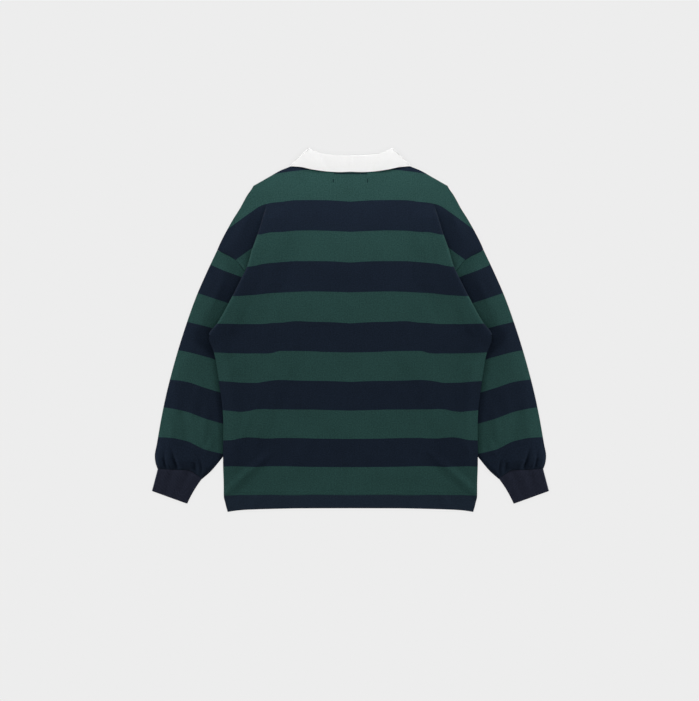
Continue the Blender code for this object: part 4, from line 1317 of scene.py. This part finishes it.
def new_group(name, output, **inputs):
    """A shader node group; returns it, what it is given, and the end that takes its result."""
    group = bpy.data.node_groups.new(name, "ShaderNodeTree")
    for label, value in inputs.items():
        kind = SOCKETS.get(label, "NodeSocketFloat")
        socket = group.interface.new_socket(label, in_out="INPUT", socket_type=kind)
        if value is not None:
            socket.default_value = value
    kind = SOCKETS.get(output, "NodeSocketFloat")
    group.interface.new_socket(output, in_out="OUTPUT", socket_type=kind)
    return group, group.nodes.new("NodeGroupInput").outputs, group.nodes.new("NodeGroupOutput").inputs[0]


def feed(tree, socket, value):
    """Sets an input to a plain value, or links another node's output to it."""
    if isinstance(value, (int, float, tuple)):
        socket.default_value = value
    else:
        tree.links.new(value, socket)


def add_node(tree, kind, inputs=(), **settings):
    """Outputs of a new node, with its settings made and its inputs, by label or number, fed."""
    node = tree.nodes.new(f"ShaderNode{kind}")
    for setting, value in settings.items():
        setattr(node, setting, value)
    for label, value in dict(inputs).items():
        feed(tree, node.inputs[label], value)
    return node.outputs


def calculate(tree, operation, *values):
    return add_node(tree, "Math", enumerate(values), operation=operation)[0]


def split(tree, vector):
    return add_node(tree, "SeparateXYZ", {0: vector})


def join(tree, x, y):
    return add_node(tree, "CombineXYZ", {0: x, 1: y})[0]


def noise(tree, vector, scale):
    return add_node(tree, "TexNoise", {"Vector": vector, "Scale": scale})["Fac"]


# %% Knit, twill and tone
LOOP_SLANT = 0.7  # courses that a loop's leg climbs from the middle of a wale to its side
LOOP_DEPTH, WALE_ROUND = 0.25, 2.5
RIB_DEPTH, WEFT_DEPTH = 0.35, 0.12
PATCHES, STREAKS, FIBRES = 14.0, 420.0, 380.0  # the scales of a dyed cloth's three kinds of unevenness
STREAK_LENGTH = 0.06  # a small share, as a streak is long and narrow


def make_knit_group():
    """Height of a knitted face: wales of V loops. Marks are lengths across and along the cloth in metres."""
    group, given, height = new_group("Knit loops", "Height", Marks=None, Wale=1.2 * MM, Course=0.9 * MM)
    do = functools.partial(calculate, group)
    across, along, _ = split(group, given["Marks"])
    in_wale = do("FRACT", do("DIVIDE", across, given["Wale"]))
    from_middle = do("MULTIPLY", do("ABSOLUTE", do("SUBTRACT", in_wale, 0.5)), 2.0)
    slanted = do("ADD", do("DIVIDE", along, given["Course"]), do("MULTIPLY", from_middle, LOOP_SLANT))
    loop = do("MULTIPLY_ADD", do("COSINE", do("MULTIPLY", slanted, 2 * math.pi)), LOOP_DEPTH, 1 - LOOP_DEPTH)
    round_wale = do("SUBTRACT", 1.0, do("POWER", from_middle, WALE_ROUND))
    feed(group, height, do("MULTIPLY", loop, round_wale))
    return group


def make_twill_group():
    """Height of woven twill: slanted ribs crossed by the weft."""
    group, given, height = new_group("Twill weave", "Height", Marks=None, Rib=0.8 * MM)
    do = functools.partial(calculate, group)
    across, along, _ = split(group, given["Marks"])
    warp, weft = (do("DIVIDE", length, given["Rib"]) for length in (across, along))
    slanted = do("SINE", do("MULTIPLY", do("ADD", warp, weft), 2 * math.pi))
    crossed = do("SINE", do("MULTIPLY", warp, 4 * math.pi))
    ribs = do("MULTIPLY_ADD", slanted, RIB_DEPTH, 0.5)
    feed(group, height, do("MULTIPLY_ADD", crossed, WEFT_DEPTH, ribs))
    return group


def make_tone_group():
    """A colour that varies as dyed cloth does: in patches, in streaks along the wales and in fine fibre."""
    group, given, colour = new_group("Dyed tone", "Color", Color=None, Marks=None, Patches=0.10, Streaks=0.10,
                                     Fibre=0.10)
    do = functools.partial(calculate, group)
    across, along, _ = split(group, given["Marks"])
    narrow = join(group, across, do("MULTIPLY", along, STREAK_LENGTH))
    total = 1.0
    for label, vector, scale in (("Patches", given["Marks"], PATCHES), ("Streaks", narrow, STREAKS),
                                 ("Fibre", given["Marks"], FIBRES)):
        centred = do("MULTIPLY_ADD", noise(group, vector, scale), 2.0, -1.0)
        total = do("ADD", do("MULTIPLY", centred, given[label]), total)
    feed(group, colour, add_node(group, "VectorMath", {0: given["Color"], "Scale": total},
                                 operation="SCALE")[0])
    return group


knit_group, twill_group, tone_group = make_knit_group(), make_twill_group(), make_tone_group()
print("groups:", [group.name for group in bpy.data.node_groups])

# %% [markdown]
# ## Finishes
#
# Heavy cotton jersey is matt and slightly furry: light that grazes it catches the fibre ends, which is
# what sheen does. Green or navy follows from the stripe number alone: whole pairs of stripes are halved,
# and the second half of each pair is navy. From the hem stripe on, that navy is painted lighter: a painted
# highlight where the turned-up hem catches the light. The rib has no stripes and a browner navy. Twill is
# smooth and white. Rubber is plain, a little glossy, and faintly mottled.

# %% Materials
GREEN = (0.0282, 0.0806, 0.0735)
NAVY = (0.0116, 0.0199, 0.0366)
# painted highlight: the hem's navy, made lighter where the turned-up hem catches the light
PAINTED_LIT_HEM_NAVY = (0.0178, 0.0295, 0.0482)
PAINTED_LIT_HEM_FROM = 11.0  # the stripe number from which the hem's navy is painted lighter, a painted highlight where the turned-up hem catches the light
RIB_NAVY = (0.0246, 0.0291, 0.0495)
WHITE = (0.885, 0.885, 0.88)
RUBBER = (0.78, 0.78, 0.76)
THREAD_NAVY = (0.006, 0.016, 0.022)
SHEEN_ROUGHNESS = 0.5
KNIT_RAISED, TWILL_RAISED = 0.25 * MM, 0.08 * MM
MOTTLE_RAISED, MOTTLE_STRENGTH = 0.05 * MM, 0.4
JERSEY_UNEVEN = (0.08, 0.10, 0.55)  # amounts of patches, streaks and fibre
PLAIN_UNEVEN = (0.01, 0.03)  # amounts of streaks and fibre


def new_material(name, roughness, specular, sheen=0.0):
    material = bpy.data.materials.new(name)
    material.use_nodes = True
    shader = material.node_tree.nodes["Principled BSDF"]
    for label, value in (("Roughness", roughness), ("Metallic", 0.0), ("Sheen Weight", sheen),
                         ("Sheen Roughness", SHEEN_ROUGHNESS), ("Specular IOR Level", specular)):
        shader.inputs[label].default_value = value
    return material, material.node_tree, shader


def use_group(tree, group, **values):
    return add_node(tree, "Group", values, node_tree=group)[0]


def cloth_marks(tree):
    return add_node(tree, "UVMap", uv_map=MARKS)["UV"]


def finish_surface(tree, shader, colour, marks, amounts, height, distance, strength=0.5):
    """Dyes a surface unevenly, by the amounts of patches, streaks and fibre, and raises it by a height."""
    patches, streaks, fibre = amounts
    tone = use_group(tree, tone_group, Color=colour, Marks=marks, Patches=patches, Streaks=streaks,
                     Fibre=fibre)
    bump = add_node(tree, "Bump", {"Distance": distance, "Strength": strength, "Height": height})
    feed(tree, shader.inputs["Base Color"], tone)
    feed(tree, shader.inputs["Normal"], bump["Normal"])


def mix_colours(tree, share, first, second):
    return add_node(tree, "Mix", {"Factor": share, "A": first, "B": second}, data_type="RGBA")["Result"]


def striped_jersey():
    material, tree, shader = new_material("Striped cotton jersey", roughness=0.90, specular=0.06, sheen=0.04)
    across, number, _ = split(tree, cloth_marks(tree))
    half_pairs = calculate(tree, "FRACT", calculate(tree, "MULTIPLY", number, 0.5))
    dye = mix_colours(tree, calculate(tree, "GREATER_THAN", half_pairs, 0.5), (*GREEN, 1), (*NAVY, 1))
    # painted highlight: from the hem stripe on, the navy is painted lighter where the turned-up hem catches
    # the light
    dye = mix_colours(tree, calculate(tree, "GREATER_THAN", number, PAINTED_LIT_HEM_FROM), dye, (*PAINTED_LIT_HEM_NAVY, 1))
    lengths = join(tree, across, calculate(tree, "MULTIPLY", number, STRIPE))
    finish_surface(tree, shader, dye, lengths, JERSEY_UNEVEN,
                   use_group(tree, knit_group, Marks=lengths), KNIT_RAISED)
    return material


def plain_cloth(name, colour, group, distance, patches, **finish):
    material, tree, shader = new_material(name, **finish)
    marks = cloth_marks(tree)
    finish_surface(tree, shader, (*colour, 1), marks, (patches, *PLAIN_UNEVEN),
                   use_group(tree, group, Marks=marks), distance)
    return material


def solid_colour(name, colour, scale, amount, **finish):
    """A finish without cloth marks, mottled on the piece's own coordinates."""
    material, tree, shader = new_material(name, **finish)
    place = add_node(tree, "TexCoord")["Object"]
    finish_surface(tree, shader, (*colour, 1), place, (amount, 0.0, amount), noise(tree, place, scale),
                   MOTTLE_RAISED, MOTTLE_STRENGTH)
    return material


jersey = striped_jersey()
rib_knit = plain_cloth("Navy rib knit", RIB_NAVY, knit_group, KNIT_RAISED, 0.08,
                       roughness=0.92, specular=0.06, sheen=0.04)
twill = plain_cloth("White cotton twill", WHITE, twill_group, TWILL_RAISED, 0.01,
                    roughness=0.75, specular=0.25, sheen=0.10)
rubber = solid_colour("White rubber", RUBBER, 900.0, 0.03, roughness=0.45, specular=0.4)
white_thread = solid_colour("White thread", WHITE, 3000.0, 0.04, roughness=0.60, specular=0.3)
navy_thread = solid_colour("Navy thread", THREAD_NAVY, 3000.0, 0.06, roughness=0.90, specular=0.05)
placket_twill = solid_colour("White placket twill", WHITE, 1600.0, 0.03, roughness=0.75, specular=0.25)

navy_sewing = (hem_thread, bar_thread, tape_thread)
white_sewing = (collar_thread, placket_thread)
print("finishes:", len(bpy.data.materials))

# %% [markdown]
# ## Table and light
#
# The shirt lies on a plain pale table under soft studio light. The table glows evenly instead of being
# lit, as a cut-out picture's ground does, and darkens only a little where the cloth touches it. A wide
# soft light stands beyond the collar, so that the shoulders are brightest. Two long lights stand low on
# the left and the right: they graze the cloth, which brings out folds only a few millimetres high. The sky
# and a small light overhead fill in the rest.

# %% Table, lights and sky
GROUND = 0.847
CONTACT_SHADE, CONTACT_REACH, CONTACT_SAMPLES = 0.74, 0.012, 8
GROUND_GLOW = 0.20  # the share of its brightness that the table sheds on the cloth
SKY = 0.06
TABLE_SIZE, TABLE_BELOW = 60.0, 0.2 * MM


def between(tree, share, low, high):
    """A value that runs from low to high as the share runs from 0 to 1."""
    return add_node(tree, "MapRange", {"Value": share, "To Min": low, "To Max": high})["Result"]


def seen_by_camera(tree):
    return add_node(tree, "LightPath")["Is Camera Ray"]


table = add_shape(bpy.ops.mesh.primitive_plane_add, "table", size=TABLE_SIZE,
                  location=(0.0, 0.0, -TABLE_BELOW))
table_finish = bpy.data.materials.new("Even pale ground")
table_finish.use_nodes = True
ground = table_finish.node_tree
ground.nodes.remove(ground.nodes["Principled BSDF"])
contact = add_node(ground, "AmbientOcclusion", {"Distance": CONTACT_REACH}, samples=CONTACT_SAMPLES)
glow = add_node(ground, "Emission", {
    "Color": between(ground, contact["AO"], CONTACT_SHADE, GROUND),
    "Strength": between(ground, seen_by_camera(ground), GROUND_GLOW, 1.0)})
feed(ground, ground.nodes["Material Output"].inputs["Surface"], glow[0])
table.data.materials.append(table_finish)

world = bpy.data.worlds.new("studio")
world.use_nodes = True
bpy.context.scene.world = world
sky = world.node_tree
sky.nodes["Background"].inputs["Color"].default_value = (1, 1, 1, 1)
feed(sky, sky.nodes["Background"].inputs["Strength"], between(sky, seen_by_camera(sky), SKY, GROUND))


def soft_light(name, place, aim, size, power):
    """A rectangular area light at a place, turned towards a point."""
    data = bpy.data.lights.new(name, "AREA")
    data.shape = "RECTANGLE"
    data.size, data.size_y = size
    data.energy = power
    light = bpy.data.objects.new(name, data)
    light.location = place
    way = np.array(aim) - np.array(place)
    light.rotation_euler = (math.atan2(math.hypot(way[0], way[1]), -way[2]), 0.0,
                            math.atan2(way[1], way[0]) - math.pi / 2)
    light.visible_camera = False
    bpy.context.scene.collection.objects.link(light)
    return light


soft_light("light beyond the collar", (0.0, 0.58, 0.30), (0.0, 0.20, 0.0), (1.0, 0.2), 2.42)
soft_light("light overhead", (0.0, -0.40, 0.60), (0.0, -0.30, 0.0), (0.4, 0.4), 0.78)
for word, way in (("left", -1), ("right", 1)):
    soft_light(f"light on the {word}", (1.4 * way, -0.10, 0.32), (0.0, -0.20, 0.0), (0.9, 0.2), 11.0)

# %% [markdown]
# ## What each piece is
#
# Last, every piece gets its material and is tied to the shirt's one body, and the solid that it stands
# for is hidden.

# %% Tie the pieces to the shirt
SHELLS = {  # the solid that each piece stands for
    "back_panel": back, "front_panel": front, "sleeve_left": sleeve_left, "sleeve_right": sleeve_right,
    "cuff_left": cuff_left, "cuff_right": cuff_right, "collar_leaf": leaf, "collar_stand": stand,
    "placket": placket, **{f"button_{number}": one for number, one in enumerate(buttons, 1)},
}
FINISHES = (  # pieces, their material, a name for its finish
    ((back, front), jersey, "striped_jersey"), ((sleeve_left, sleeve_right), jersey, "sleeve_jersey"),
    ((cuff_left, cuff_right), rib_knit, "navy_rib"), ((leaf, stand), twill, "white_twill"),
    ((placket,), placket_twill, "white_twill"), (buttons, rubber, "white_rubber"),
    (allowances.values(), navy_thread, "sleeve_jersey"), (navy_sewing, navy_thread, "striped_jersey"),
    (white_sewing, white_thread, "white_twill"),
)
for pieces, material, finish in FINISHES:
    for piece in pieces:
        piece.data.materials.clear()
        piece.data.materials.append(material)
        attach(piece, "root")
for solid, piece in SHELLS.items():
    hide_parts(solid)
